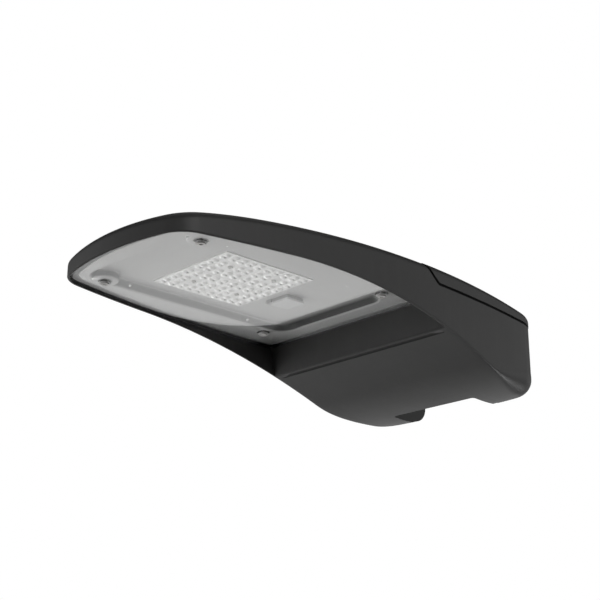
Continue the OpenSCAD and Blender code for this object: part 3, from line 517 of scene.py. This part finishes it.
# %% Tray outlines
TRAY_Z, TRAY_T, PAN_D, PAN_SLOPE = 40.3, 1.5, 9.0, 9.0
PAN_X0, PAN_X1, PAN_HALF, PAN_R = 188.0, 505.0, 95.0, 24.0
ENGINE, ENGINE_SIZE = np.array([354.6, 0.0]), np.array([133.8, 132.2])
BEND_R, FOOT_R, WRAP_R, WRAP_FILLET = 2.2, 3.2, 15.0, 1.6
QUARTER, HALF_BEND = np.radians([0, 30, 60, 90]), math.tan(math.radians(22.5))
LEAD_HOLE, LEAD_HOLE_R = (262, -24.5), 3


def rounded(x0, x1, half, r, count=12):
    """A rectangle with round corners, counter-clockwise from the nose side."""
    centres = ((x1 - r, half - r), (x0 + r, half - r), (x0 + r, r - half), (x1 - r, r - half))
    return np.concatenate([arc_points(c, r, 90 * k, 90 * k + 90, count) for k, c in enumerate(centres)])


def pan_ring(d, z):
    """The pan's outline d mm in from its mouth; the rear wall is steeper than the others."""
    return lift(rounded(PAN_X0 + d / 3, PAN_X1 - d, PAN_HALF - d, PAN_R - d / 2), z)


def pan_rings(out, up):
    """Wall profile: a rounded bend from the flange, a straight slope and a rounded foot at the floor."""
    rings = []
    for t in np.radians(np.linspace(0, 45, 5)):
        rings.append(pan_ring(-BEND_R * HALF_BEND + BEND_R * math.sin(t) - out,
            TRAY_Z + BEND_R * (1 - math.cos(t)) + up))
    for t in np.radians(np.linspace(45, 0, 6)):
        rings.append(pan_ring(PAN_SLOPE + FOOT_R * HALF_BEND - FOOT_R * math.sin(t) - out,
            TRAY_Z + PAN_D - FOOT_R * (1 - math.cos(t)) + up))
    return rings

# %% Forms round the front screws
def wrap(p, r, floor_z):
    """A post that stays standing in the pan's hollow: eased out at the mouth and flared at the floor."""
    f = WRAP_FILLET
    rings = [lift(circle(p, r - f), 30)]
    for t in QUARTER:
        rings.append(lift(circle(p, r - f * (1 - math.sin(t))), TRAY_Z + f * (1 - math.cos(t)) - 0.01))
    for t in QUARTER:
        rings.append(lift(circle(p, r + f * (1 - math.cos(t))), floor_z - f * (1 - math.sin(t))))
    return capped("wrap", rings + [lift(circle(p, r + f), floor_z + 8)])

# %% Tray from two pans
front_screws = [p for p in lens_screws if p[0] > ENGINE[0]]
tray = capped("reflector", [lift(clipped(RIM_T + 10.1, LENS_REAR_X + 10.1), z) for z in (TRAY_Z, TRAY_Z + TRAY_T)])
shell = capped("shell", [pan_ring(-1.2, TRAY_Z + 0.7)] + pan_rings(TRAY_T * 0.41, TRAY_T)[1:])
carve(shell, [wrap(p, WRAP_R, TRAY_Z + PAN_D + TRAY_T) for p in front_screws])
mouth = pan_rings(0, 0)
hollow = capped("hollow", [mouth[0] * [1, 1, 0] + [0, 0, 30]] + mouth)
carve(hollow, [wrap(p, WRAP_R + TRAY_T, TRAY_Z + PAN_D) for p in front_screws])
window = rounded(*(ENGINE[0] + np.array([-1, 1]) * (ENGINE_SIZE[0] / 2 + 1)), ENGINE_SIZE[1] / 2 + 1, 2.0, 5)
carve(tray, [shell], "UNION")
carve(tray, [hollow, capped("window", [lift(window, TRAY_Z + 5), lift(window, TRAY_Z + 20)])]
    + [post(p, BOSS_R + 0.4, 30, 60) for p in lens_screws] + [post(LEAD_HOLE, LEAD_HOLE_R, 45, 56)])
print("tray faces:", len(tray.data.polygons))

# %% [markdown]
# ## Optic plates
# Each plate is one moulding of clear plastic with fourteen double lobes over its LED packages. The
# lower side is a height field: at each grid point the deepest of the spherical lobes, or the flat
# plate. A mask round each package is stored with the mesh; it carries painted shade, a small dark
# spot in the middle of each optic where the LED cavity lies in shadow.

# %% Plate sizes
PLATE, PLATE_GAP, PLATE_Z = np.array([66.6, 65.8]), 0.6, (48.5, 51.0)
LOBE_BALL_R, LOBE_DROP, LOBE_APART, CAVITY_SHADE_R = 5.4, 2.6, 7.6, 1.6
PITCH_X, PITCH_Y = 13.0, 21.6
plate_centres = [ENGINE + s * (PLATE + PLATE_GAP) / 2 for s in np.array([[1, 1], [-1, 1], [-1, -1], [1, -1]])]
optics = np.array([(PITCH_X * i, PITCH_Y * j) for i in range(-2, 3) for j in range(-1, 2) if (i, j) != (0, 0)])

# %% Plate surface
def optic_plate(name, centre):
    nx, ny = 96, 95
    x, y = np.meshgrid(np.linspace(-0.5, 0.5, nx) * PLATE[0], np.linspace(-0.5, 0.5, ny) * PLATE[1])
    flat = np.column_stack([x.ravel(), y.ravel()])
    lobes = np.concatenate([optics + [0, LOBE_APART / 2], optics - [0, LOBE_APART / 2]])
    d2 = ((flat[:, None, :] - lobes) ** 2).sum(-1).min(1)
    ball = np.sqrt(np.maximum(LOBE_BALL_R ** 2 - d2, 0)) - (LOBE_BALL_R - LOBE_DROP)
    z = PLATE_Z[0] - np.maximum(ball, 0)
    index = np.arange(nx * ny).reshape(ny, nx)
    grid = np.stack([index[:-1, :-1], index[1:, :-1], index[1:, 1:], index[:-1, 1:]], -1).reshape(-1, 4)
    rim = np.concatenate([index[0, :-1], index[:-1, -1], index[-1, :0:-1], index[:0:-1, 0]])
    n, m = nx * ny, len(rim)
    top = np.arange(m) + n
    side = np.stack([rim, np.roll(rim, -1), np.roll(top, -1), top], -1)
    points = np.concatenate([np.column_stack([flat + centre, z]), lift(flat[rim] + centre, PLATE_Z[1])])
    plate = make_object(name, points, [grid, side, top[None, :]], 50)
    # Painted shade: a dark spot round the middle of each optic, where the LED cavity lies in shadow.
    near = np.sqrt(((flat[:, None, :] - optics) ** 2).sum(-1).min(1))
    shade = np.concatenate([np.exp(-(near / CAVITY_SHADE_R) ** 4), np.zeros(m)])
    plate.data.attributes.new("painted_cavity_shade", "FLOAT", "POINT").data.foreach_set("value", shade)
    return plate


plates = [optic_plate(f"optics_{i + 1}", c) for i, c in enumerate(plate_centres)]
print("optic plates:", len(plates), "lobes each:", 2 * len(optics))

# %% [markdown]
# ## Screws and washers
# Screws are turned parts with a hexagonal socket pressed into the head. A head is a stack of rings:
# the socket's floor and mouth are the same number of points laid on a hexagon, then the face, the
# rounded edge, the side and the shank.

# %% Turned pieces
def gather(name, solids):
    """One object from several stacks of rings, each closed by flat ends."""
    points, faces, start = [], [], 0
    for rings in solids:
        n, count = len(rings[0]), len(rings)
        points.append(np.concatenate(rings))
        low = np.arange(n)[None, :] + start
        faces += [strips(count, n, start=start), low[:, ::-1], low + (count - 1) * n]
        start += n * count
    return make_object(name, np.concatenate(points), faces)


def hexagon(centre, flat_r, count=48):
    """Points on a hexagon at even angles; flat_r is half its width across flats."""
    a = np.linspace(0, 2 * math.pi, count, endpoint=False)
    r = flat_r / np.cos((a % (math.pi / 3)) - math.pi / 6)
    return np.column_stack([centre[0] + r * np.cos(a), centre[1] + r * np.sin(a)])


def socket_screw(p, z, head_r, head_h, shank_r, shank_l, up):
    """z is the seat of the head, which stands up (1) or hangs down (-1)."""
    s, edge = head_r * 0.42, head_h * 0.22
    rings = [lift(circle(p, shank_r), z - up * shank_l), lift(circle(p, shank_r), z), lift(circle(p, head_r), z)]
    rings += [lift(circle(p, head_r - edge * (1 - math.cos(t))), z + up * (head_h - edge * (1 - math.sin(t))))
        for t in QUARTER]
    rings += [lift(hexagon(p, s + 0.15), z + up * head_h), lift(hexagon(p, s), z + up * (head_h - 0.2)),
        lift(hexagon(p, s), z + up * head_h * 0.45)]
    return rings if up > 0 else rings[::-1]

# %% Screws
WASHER_T = 0.8
seat = LENS_Z - WASHER_T
lens_heads = gather("pane_screws", [socket_screw(p, seat, 5.0, 1.8, 2.3, 14, -1) for p in lens_screws])
cover_heads = gather("cover_screw_set", [socket_screw(p, z + 0.1, HEAD_R, 4.0, 2.3, z - seam_z(p[0]) + 4, 1)
    for p, z in zip(cover_screws, heads)])
plate_heads = gather("plate_screws",
    [socket_screw(c, PLATE_Z[0] - 0.1, 3.0, 2.0, 1.4, 5.0, -1) for c in plate_centres])

# %% [markdown]
# A pale nylon washer under each lens screw spreads its force over the glass. It is one closed
# profile turned round the screw: bore, lower face, a small chamfer and the outer side.

# %% Washers
def washer(p):
    return [lift(circle(p, r), z) for r, z in ((2.7, seat + 0.15), (2.9, seat), (6.7, seat), (7.0, seat + 0.25),
        (7.0, LENS_Z - 0.1), (2.7, LENS_Z - 0.1))]


washers = [looped(f"seal_washer_{i + 1}", washer(p)) for i, p in enumerate(lens_screws)]
print("screws and washers:", len(lens_screws), len(cover_screws), len(plate_centres), len(washers))

# %% [markdown]
# ## Finishes
# Three effects are shared by many materials, so each is a node group. The first is the broad and
# fine variation that every moulded, cast or painted surface has: patches a few centimetres wide
# that shift the colour and the gloss a little, and a fine grain that gives the bump.

# %% Group helpers
def group(name, inputs, outputs):
    tree = bpy.data.node_groups.new(name, "ShaderNodeTree")
    for label, kind, value in inputs:
        socket = tree.interface.new_socket(label, in_out="INPUT", socket_type=kind)
        socket.default_value = value
    for label, kind in outputs:
        tree.interface.new_socket(label, in_out="OUTPUT", socket_type=kind)
    return tree, tree.nodes.new("NodeGroupInput"), tree.nodes.new("NodeGroupOutput")


def fill(tree, made, sockets):
    """Sets a node's inputs: a value is stored, an output is linked. Names may use _ for a space."""
    for key, value in sockets.items():
        key = int(key[1:]) if key[0] == "i" and key[1:].isdigit() else key.replace("_", " ")
        if isinstance(value, bpy.types.NodeSocket):
            tree.links.new(value, made.inputs[key])
        else:
            made.inputs[key].default_value = value
    return made


def node(tree, kind, **sockets):
    return fill(tree, tree.nodes.new(kind), sockets)


def shared(tree, source, **sockets):
    """One use of a node group; gives its outputs."""
    made = tree.nodes.new("ShaderNodeGroup")
    made.node_tree = source
    return fill(tree, made, sockets).outputs

# %% Maths on values
def maths(tree, how, a, b, clamp=False):
    made = node(tree, "ShaderNodeMath", i0=a, i1=b)
    made.operation = how
    made.use_clamp = clamp
    return made.outputs[0]


def vector_maths(tree, how, a, b):
    made = node(tree, "ShaderNodeVectorMath", i0=a, i1=b)
    made.operation = how
    return made.outputs


def product(tree, first, *others):
    for other in others:
        first = maths(tree, "MULTIPLY", first, other)
    return first


def between(tree, value, start, end, at_start=0.0, at_end=1.0):
    """A ramp: one level up to start, the other from end on."""
    return node(tree, "ShaderNodeMapRange", Value=value, i1=start, i2=end, i3=at_start, i4=at_end).outputs[0]


def noise(tree, where, scale, detail, rough=0.55):
    return node(tree, "ShaderNodeTexNoise", Vector=where, Scale=scale, Detail=detail, Roughness=rough).outputs["Fac"]


def own_place(tree):
    """Coordinates that belong to the piece, so a pattern keeps its real size and place on it."""
    return tree.nodes.new("ShaderNodeTexCoord").outputs["Object"]


FLOAT, COLOR = "NodeSocketFloat", "NodeSocketColor"

# %% [markdown]
# The surface group gives a colour, a roughness and the grain's height. Stretch squeezes the grain
# along Y, so that it runs along X as on rolled sheet.

# %% Surface group
surface, gin, gout = group("surface_variation",
    [("Tint", COLOR, (0.5, 0.5, 0.5, 1)), ("Patch Scale", FLOAT, 12.0), ("Tint Shift", FLOAT, 0.1),
     ("Roughness", FLOAT, 0.5), ("Gloss Shift", FLOAT, 0.1), ("Grain Scale", FLOAT, 900.0), ("Stretch", FLOAT, 1.0)],
    [("Color", COLOR), ("Roughness", FLOAT), ("Grain", FLOAT)])
place = own_place(surface)
patches = noise(surface, place, gin.outputs["Patch Scale"], 5)
along = node(surface, "ShaderNodeCombineXYZ", X=1.0, Y=gin.outputs["Stretch"], Z=1.0)
streaks = vector_maths(surface, "MULTIPLY", place, along.outputs[0])
grain = noise(surface, streaks[0], gin.outputs["Grain Scale"], 3)
centred = maths(surface, "SUBTRACT", patches, 0.5)
shift = product(surface, centred, gin.outputs["Tint Shift"])
fine = product(surface, maths(surface, "SUBTRACT", grain, 0.5), product(surface, gin.outputs["Tint Shift"], 0.4))
level = maths(surface, "ADD", 1.0, maths(surface, "ADD", shift, fine))
tinted = surface.nodes.new("ShaderNodeVectorMath")
tinted.operation = "SCALE"
fill(surface, tinted, {"i0": gin.outputs["Tint"], "Scale": level})
gloss_shift = product(surface, centred, gin.outputs["Gloss Shift"])
gloss = maths(surface, "ADD", gin.outputs["Roughness"], gloss_shift, True)
fill(surface, gout, {"Color": tinted.outputs[0], "Roughness": gloss, "Grain": grain})

# %% [markdown]
# The second group is dust. It settles on faces that look up, thickest in patches, and is read from
# the surface's own direction, so it stays where it is from every view. The third is the faint
# run marks that rain leaves on painted sides, drawn out along Z.

# %% Dust and rain groups
dust, gin, gout = group("settled_dust",
    [("Color", COLOR, (0.1, 0.1, 0.1, 1)), ("Dust Color", COLOR, (0.35, 0.33, 0.3, 1)),
     ("Amount", FLOAT, 0.15), ("Roughness", FLOAT, 0.5)], [("Color", COLOR), ("Roughness", FLOAT)])
facing = dust.nodes.new("ShaderNodeNewGeometry").outputs["Normal"]
up = node(dust, "ShaderNodeSeparateXYZ", Vector=facing).outputs["Z"]
lying = between(dust, up, 0.3, 1.0)
spread = between(dust, noise(dust, own_place(dust), 26.0, 6, 0.65), 0.35, 0.75)
cover_share = maths(dust, "MULTIPLY", product(dust, lying, spread), gin.outputs["Amount"], True)
blend = node(dust, "ShaderNodeMixRGB", Fac=cover_share, Color1=gin.outputs["Color"], Color2=gin.outputs["Dust Color"])
duller = maths(dust, "ADD", gin.outputs["Roughness"], product(dust, cover_share, 0.8), True)
fill(dust, gout, {"Color": blend.outputs[0], "Roughness": duller})

rain, gin, gout = group("rain_marks",
    [("Color", COLOR, (0.1, 0.1, 0.1, 1)), ("Amount", FLOAT, 0.1)], [("Color", COLOR)])
drawn = vector_maths(rain, "MULTIPLY", own_place(rain), (1.0, 1.0, 0.12))
runs = between(rain, noise(rain, drawn[0], 75.0, 4, 0.6), 0.5, 0.8)
share = maths(rain, "MULTIPLY", runs, gin.outputs["Amount"], True)
lifted = node(rain, "ShaderNodeMixRGB", Fac=share, Color1=gin.outputs["Color"], Color2=(0.22, 0.22, 0.21, 1))
fill(rain, gout, {"Color": lifted.outputs[0]})
print("groups:", [g.name for g in bpy.data.node_groups])

# %% [markdown]
# ## Materials
# Each material starts from the surface group with its own values and keeps its Principled shader
# outside the groups. Sizes are real: powder coat has a skin like orange peel about 1.5 mm across, and
# drawn or rolled metal has a grain that is stretched one way.

# %% Material maker
def finish(name, tint, rough, metallic=0.0, patch=12.0, tint_shift=0.12, gloss_shift=0.12, grain_scale=900.0,
        stretch=1.0, bump=0.08, depth=0.0002, dusty=0.0, rainy=0.0, coat=0.0):
    """Returns the material with its tree and shader, for what only one finish needs."""
    mat = bpy.data.materials.new(name)
    mat.use_nodes = True
    tree = mat.node_tree
    shader = tree.nodes["Principled BSDF"]
    base = shared(tree, surface, Tint=(*tint, 1), Patch_Scale=patch, Tint_Shift=tint_shift, Roughness=rough,
        Gloss_Shift=gloss_shift, Grain_Scale=grain_scale, Stretch=stretch)
    colour, gloss = base["Color"], base["Roughness"]
    if rainy:
        colour = shared(tree, rain, Color=colour, Amount=rainy)["Color"]
    if dusty:
        layer = shared(tree, dust, Color=colour, Roughness=gloss, Amount=dusty)
        colour, gloss = layer["Color"], layer["Roughness"]
    relief = node(tree, "ShaderNodeBump", Strength=bump, Distance=depth, Height=base["Grain"])
    fill(tree, shader, {"Base Color": colour, "Roughness": gloss, "Normal": relief.outputs[0],
        "Metallic": metallic, "Coat Weight": coat, "Coat Roughness": 0.25})
    return mat, tree, shader

# %% Short helpers
def plain(*words, **values):
    """A finish that needs nothing more than its numbers."""
    return finish(*words, **values)[0]


def recolour(tree, shader, mask, colour):
    """Puts another colour over the base colour where the mask is 1."""
    under = shader.inputs["Base Color"].links[0].from_socket
    over = node(tree, "ShaderNodeMixRGB", Fac=mask, Color1=under, Color2=(*colour, 1))
    tree.links.new(over.outputs[0], shader.inputs["Base Color"])


def grey(level, warm=0.0):
    return (level * (1 + warm), level, level * (1 - warm))

# %% [markdown]
# The casting is powder coated in a dark grey with a trace of warmth. The coat flows into a skin like
# orange peel, with a much finer texture on it, so two bumps follow one another. It carries a little
# dust and hardly any rain marks, since the light in the photograph looks new.

# %% Painted casting
casting, tree, shader = finish("bronze_powder_coat", grey(0.026, 0.01), 0.5, patch=9.0, tint_shift=0.14,
    gloss_shift=0.14, grain_scale=620.0, bump=0.22, depth=0.0004, dusty=0.12, rainy=0.02)
fine_skin = noise(tree, own_place(tree), 2600.0, 2)
peel = shader.inputs["Normal"].links[0].from_socket
texture = node(tree, "ShaderNodeBump", Strength=0.12, Distance=0.0001, Height=fine_skin, Normal=peel)
fill(tree, shader, {"Specular IOR Level": 0.36, "Normal": texture.outputs[0]})

# %% [markdown]
# Glass lets shadow rays through, so the lamps light what lies behind it. Its colour is a trace of
# green, and its roughness changes with a thin film of handling marks. Its reflection is kept weak,
# as on a pane with a non-glare coat, because the photograph shows the pan clearly through it.

# %% Lens glass
glass, tree, shader = finish("lens_glass", (0.972, 0.978, 0.973), 0.015, patch=7.0, tint_shift=0.01,
    gloss_shift=0.03, grain_scale=60.0, bump=0.02, depth=0.0001)
fill(tree, shader, {"Transmission Weight": 1.0, "IOR": 1.33, "Specular IOR Level": 0.08})
through = tree.nodes.new("ShaderNodeBsdfTransparent")
is_shadow = tree.nodes.new("ShaderNodeLightPath").outputs["Is Shadow Ray"]
mix = node(tree, "ShaderNodeMixShader", Fac=is_shadow, i1=shader.outputs[0], i2=through.outputs[0])
tree.links.new(mix.outputs[0], tree.nodes["Material Output"].inputs["Surface"])

# %% [markdown]
# The optics are clear plastic in front of a white board, which reads as a bright milky lobe. The
# stored mask paints shade in the middle of each optic: a small dark spot, where the plastic is made
# darker and warmer to stand for the LED cavity in shadow.

# %% Optic plastic
optic, tree, shader = finish("optic_plastic", grey(0.83, 0.01), 0.2, patch=30.0, tint_shift=0.05,
    gloss_shift=0.08, grain_scale=300.0, bump=0.03, depth=0.0001)
# Painted shade from the stored mask: a small dark, warm spot in each optic's middle.
painted_cavity_shade = tree.nodes.new("ShaderNodeAttribute")
painted_cavity_shade.attribute_name = "painted_cavity_shade"
recolour(tree, shader, product(tree, painted_cavity_shade.outputs["Fac"], 0.97), (0.06, 0.055, 0.045))

# %% [markdown]
# The reflector is satin sheet. Two places carry painted shade: a near-black band on the pan's rear
# wall, a little darker towards -Y, and a darker wash on the long far wall. Ramps in Object
# coordinates, here in metres, mark off both places.

# %% Reflector sheet
reflector, tree, shader = finish("satin_reflector", grey(0.41, 0.008), 0.4, metallic=0.1, patch=14.0,
    tint_shift=0.05, gloss_shift=0.08, grain_scale=700.0, bump=0.06)
spot = node(tree, "ShaderNodeSeparateXYZ", Vector=own_place(tree)).outputs
# Painted shade: a near-black band along the pan's rear wall, darker towards -Y.
painted_shade_strip = product(tree, between(tree, spot["X"], 0.1915, 0.201, 1.0, 0.0), between(tree, spot["Z"], 0.0420, 0.0428),
    between(tree, spot["Y"], -0.08, 0.085, 0.98, 0.86))
recolour(tree, shader, painted_shade_strip, grey(0.012))
# Painted shade: a darker wash over the pan's long far wall on the -Y side.
painted_shade_wash = product(tree, between(tree, spot["Z"], 0.0408, 0.0425), between(tree, spot["Z"], 0.0472, 0.0492, 1.0, 0.0),
    between(tree, spot["Y"], -0.07, -0.055, 0.95, 0.0))
recolour(tree, shader, painted_shade_wash, grey(0.045))

# %% [markdown]
# The other finishes differ in their numbers: foam and rubber are rough, bare metal is glossier, and
# the moulded plastics share one skin. The black seal reflects hardly anything, as foam does.

# %% Foam and rubber
seal = plain("pale_seal_foam", grey(0.42), 0.75, patch=22.0, grain_scale=1500.0, bump=0.3, depth=0.0003)
soft_black = {"patch": 25.0, "grain_scale": 1400.0, "bump": 0.25}
rubber = plain("black_rubber", grey(0.022), 0.62, tint_shift=0.35, **soft_black)
black_seal, _, shader = finish("black_seal_foam", grey(0.005), 0.9, tint_shift=0.3, **soft_black)
shader.inputs["Specular IOR Level"].default_value = 0.1

# %% Metals
steel = plain("stainless_screw", grey(0.50, 0.02), 0.4, metallic=0.7, patch=90.0, tint_shift=0.2, gloss_shift=0.2,
    grain_scale=2500.0, bump=0.12, depth=0.0001)
bright = plain("bright_rivet", grey(0.80), 0.25, metallic=1.0, patch=120.0, tint_shift=0.1, gloss_shift=0.15,
    grain_scale=2500.0, bump=0.1, depth=0.0001)
zinc = plain("zinc_plated_sheet", grey(0.55, 0.015), 0.38, metallic=1.0, patch=60.0, tint_shift=0.3,
    gloss_shift=0.25, grain_scale=260.0, stretch=14.0, bump=0.12)

# %% Board, plastics and coats
board = plain("white_solder_mask", grey(0.72), 0.35, patch=50.0, tint_shift=0.08, bump=0.15, depth=0.0001,
    coat=0.2)
phosphor = plain("led_phosphor", (0.75, 0.52, 0.13), 0.45, patch=400.0, tint_shift=0.15, grain_scale=3000.0,
    bump=0.1, depth=0.0001)
moulded = {"patch": 40.0, "grain_scale": 1600.0}
black_plastic = plain("black_moulding", grey(0.03), 0.42, tint_shift=0.25, bump=0.2, **moulded)
grey_plastic = plain("grey_moulding", grey(0.16), 0.42, tint_shift=0.2, bump=0.2, **moulded)
pale_plastic = plain("pale_moulding", grey(0.50), 0.4, tint_shift=0.08, bump=0.15, **moulded)
lead_skin = plain("red_wire_skin", (0.42, 0.02, 0.018), 0.42, patch=60.0, tint_shift=0.2, grain_scale=1200.0,
    bump=0.1, depth=0.0001)
case = plain("driver_case_coat", grey(0.62), 0.5, patch=16.0, tint_shift=0.1, bump=0.2, depth=0.0003)
green = plain("ground_green_zinc", (0.03, 0.22, 0.07), 0.4, metallic=0.6, patch=80.0, tint_shift=0.2,
    grain_scale=2000.0, bump=0.1, depth=0.0001)
print("finishes:", len(bpy.data.materials))

# %% [markdown]
# ## Dressing the frame
# New pieces take the place of their CAD nodes and ride on the one body. Nodes whose CAD shape is
# already right keep it and only get their finish.

# %% Pieces and nodes
new_pieces = [(housing, casting, "casting", ["housing"]), (cover, casting, "casting", ["rear_cover"]),
    (lens, glass, "lens_glass", ["glass_lens"]), (tray, reflector, "reflector", ["reflector_tray"]),
    (lens_heads, steel, "steel_screw", ["lens_screws"]), (cover_heads, steel, "steel_screw", ["cover_screws"]),
    (plate_heads, steel, "steel_screw", ["optic_screws"]), (washers[0], pale_plastic, "gasket", ["lens_washers"])]
new_pieces += [(w, pale_plastic, "gasket", []) for w in washers[1:]] + [(seam_seal, black_seal, "gasket", [])]
new_pieces += [(p, optic, "optic", [f"optic_plate_{i + 1}"]) for i, p in enumerate(plates)]
for piece, mat, slot_name, replaced in new_pieces:
    piece.data.materials.clear()
    piece.data.materials.append(mat)
    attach(piece, "root")
    if replaced:
        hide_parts(*replaced)

# %% Nodes that keep their shape
kept_nodes = {"lens_gasket": seal, "tray_rivets": bright, "led_board": board, "led_packages": phosphor,
    "board_connector": grey_plastic, "connector_cap": pale_plastic, "module_leads": lead_skin,
    "cover_gasket": black_seal, "gear_plate": zinc, "gear_plate_screws": steel, "driver": case,
    "driver_screws": steel, "surge_protector": pale_plastic, "terminal_block": black_plastic,
    "ground_screw": green, "wire_grommet": rubber}
for name, mat in kept_nodes.items():
    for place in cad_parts[name].material_slots:
        place.material = mat
print("new pieces:", len(new_pieces), "dressed nodes:", len(kept_nodes))

# %% [markdown]
# ## Floor, light and camera
# The head hangs above a pale floor, as it does on its pole. Floor and world look white to the
# camera. Mirrors and the glass show the world nearly as white and the floor dimmer, and matt
# surfaces get only a plain grey light. A ray that has met a matt surface counts as light (its
# Diffuse Depth is over zero), so the pan behind the glass isn't lit by the white of mirrors.

# %% Floor
def ray_kinds(tree):
    """Two masks: 1 for a ray straight from the camera, and 1 for what a mirror or the glass shows."""
    path = tree.nodes.new("ShaderNodeLightPath").outputs
    seen = maths(tree, "MAXIMUM", path["Is Glossy Ray"], path["Is Transmission Ray"])
    return path["Is Camera Ray"], product(tree, seen, maths(tree, "LESS_THAN", path["Diffuse Depth"], 0.5))


FLOOR_HALF, FLOOR_Z, FLOOR_GLOW, FLOOR_MIRROR_SHARE = 3e4, -1900.0, 0.86, 0.36
corners = np.array([[-1, -1], [1, -1], [1, 1], [-1, 1]]) * FLOOR_HALF
floor = make_object("floor", lift(corners, FLOOR_Z), [np.array([[0, 1, 2, 3]])])
floor_mat, tree, shader = finish("pale_floor", grey(0.8), 0.85, patch=0.8, tint_shift=0.02, grain_scale=30.0,
    bump=0.02, depth=0.001)
by_camera, mirrored = ray_kinds(tree)
lifted = maths(tree, "MAXIMUM", by_camera, product(tree, mirrored, FLOOR_MIRROR_SHARE))
fill(tree, shader, {"Emission Color": (1, 1, 1, 1), "Emission Strength": product(tree, lifted, FLOOR_GLOW)})
floor.data.materials.append(floor_mat)

# %% [markdown]
# The world is worked out from the direction of a ray, which needs no picture. It is dark overhead
# and high behind the head, in mirrors too, and as a light it is dimmer ahead of the nose.

# %% World
world = bpy.data.worlds.new("studio")
world.use_nodes = True
bpy.context.scene.world = world
tree = world.node_tree
tree.nodes.clear()
WORLD_LEVEL = 0.24
by_camera, mirrored = ray_kinds(tree)
direction = tree.nodes.new("ShaderNodeTexCoord").outputs["Generated"]
aside = vector_maths(tree, "DOT_PRODUCT", direction, (-0.5, -0.5, 0.7))
parts = node(tree, "ShaderNodeSeparateXYZ", Vector=direction).outputs
behind = between(tree, aside["Value"], 0.5, 0.8, 1.0, 0.03)
front = between(tree, parts["X"], -0.2, 0.7, 1.0, 0.25)
above = between(tree, parts["Z"], 0.4, 0.65, 1.0, 0.1)
ceiling = product(tree, behind, above)
light_level = product(tree, ceiling, front, WORLD_LEVEL)
with_mirror = maths(tree, "ADD", light_level, product(tree, mirrored, ceiling, 1 - WORLD_LEVEL))
strength = maths(tree, "MAXIMUM", by_camera, with_mirror)
sky = node(tree, "ShaderNodeBackground", Color=(1, 1, 1, 1), Strength=strength)
out = tree.nodes.new("ShaderNodeOutputWorld")
tree.links.new(sky.outputs[0], out.inputs["Surface"])

# %% [markdown]
# Two low lamps, on the far side and ahead of the nose, light the pan through the glass and leave no
# highlight. Three more draw the soft sheen of belly, ridge and riser, one lights the near side, and
# the last one the crown. The flags say which rays see a lamp.

# %% Lamps
from mathutils import Matrix, Vector


def lamp(name, place, aim, size, watts, mirror=True, diffuse=True, through=True):
    light = bpy.data.lights.new(name, "AREA")
    light.shape = "RECTANGLE"
    light.size, light.size_y = size
    light.energy = watts
    obj = bpy.data.objects.new(name, light)
    turn = (Vector(aim) - Vector(place)).to_track_quat("-Z", "Y").to_matrix().to_4x4()
    obj.matrix_world = Matrix.Translation(place) @ turn
    obj.visible_glossy, obj.visible_diffuse, obj.visible_transmission = mirror, diffuse, through
    bpy.context.scene.collection.objects.link(obj)


lamp("far_side_low", (0.15, -1.6, -0.72), (0.25, 0.0, 0.03), (0.7, 0.7), 14, mirror=False)
lamp("front_low", (1.6, -0.9, -0.9), (0.2, 0.0, 0.03), (0.8, 0.8), 8.5, mirror=False)
lamp("far_rear_low", (-1.34, -1.5, -0.72), (0.1, 0.0, 0.0), (1.6, 1.2), 5, diffuse=False, through=False)
lamp("ridge", (-1.3, 0.65, -1.37), (0.1, 0.1, 0.0), (0.6, 0.6), 14, diffuse=False, through=False)
lamp("front", (1.9, -1.4, -0.4), (0.2, 0.0, 0.0), (0.8, 0.8), 2.5, through=False)
lamp("camera_side", (0.9, 2.3, 0.55), (0.2, 0.0, 0.03), (1.8, 1.2), 20)
lamp("overhead", (0.2, -0.2, 2.4), (0.2, -0.1, 0.0), (2.4, 2.4), 8)
print("lamps:", [light.name for light in bpy.data.lights])

# %% [markdown]
# The camera looks up at the head from ahead of its nose and to its side, through a moderately long
# lens, as in the photograph. Its three axes are the columns of its rotation.

# %% Camera
camera = bpy.data.cameras.new("view")
camera.lens, camera.sensor_width = 76.68, 36.0
viewer = bpy.data.objects.new("view", camera)
right, above, back = (-0.7225, 0.6914, 0.0), (0.2266, 0.2368, 0.9448), (0.6532, 0.6826, -0.3277)
turned = Matrix((right, above, back)).transposed().to_4x4()
viewer.matrix_world = Matrix.Translation((1.2816, 1.0826, -0.4718)) @ turned
bpy.context.scene.collection.objects.link(viewer)
bpy.context.scene.camera = viewer
bpy.context.scene.view_settings.view_transform = "Standard"
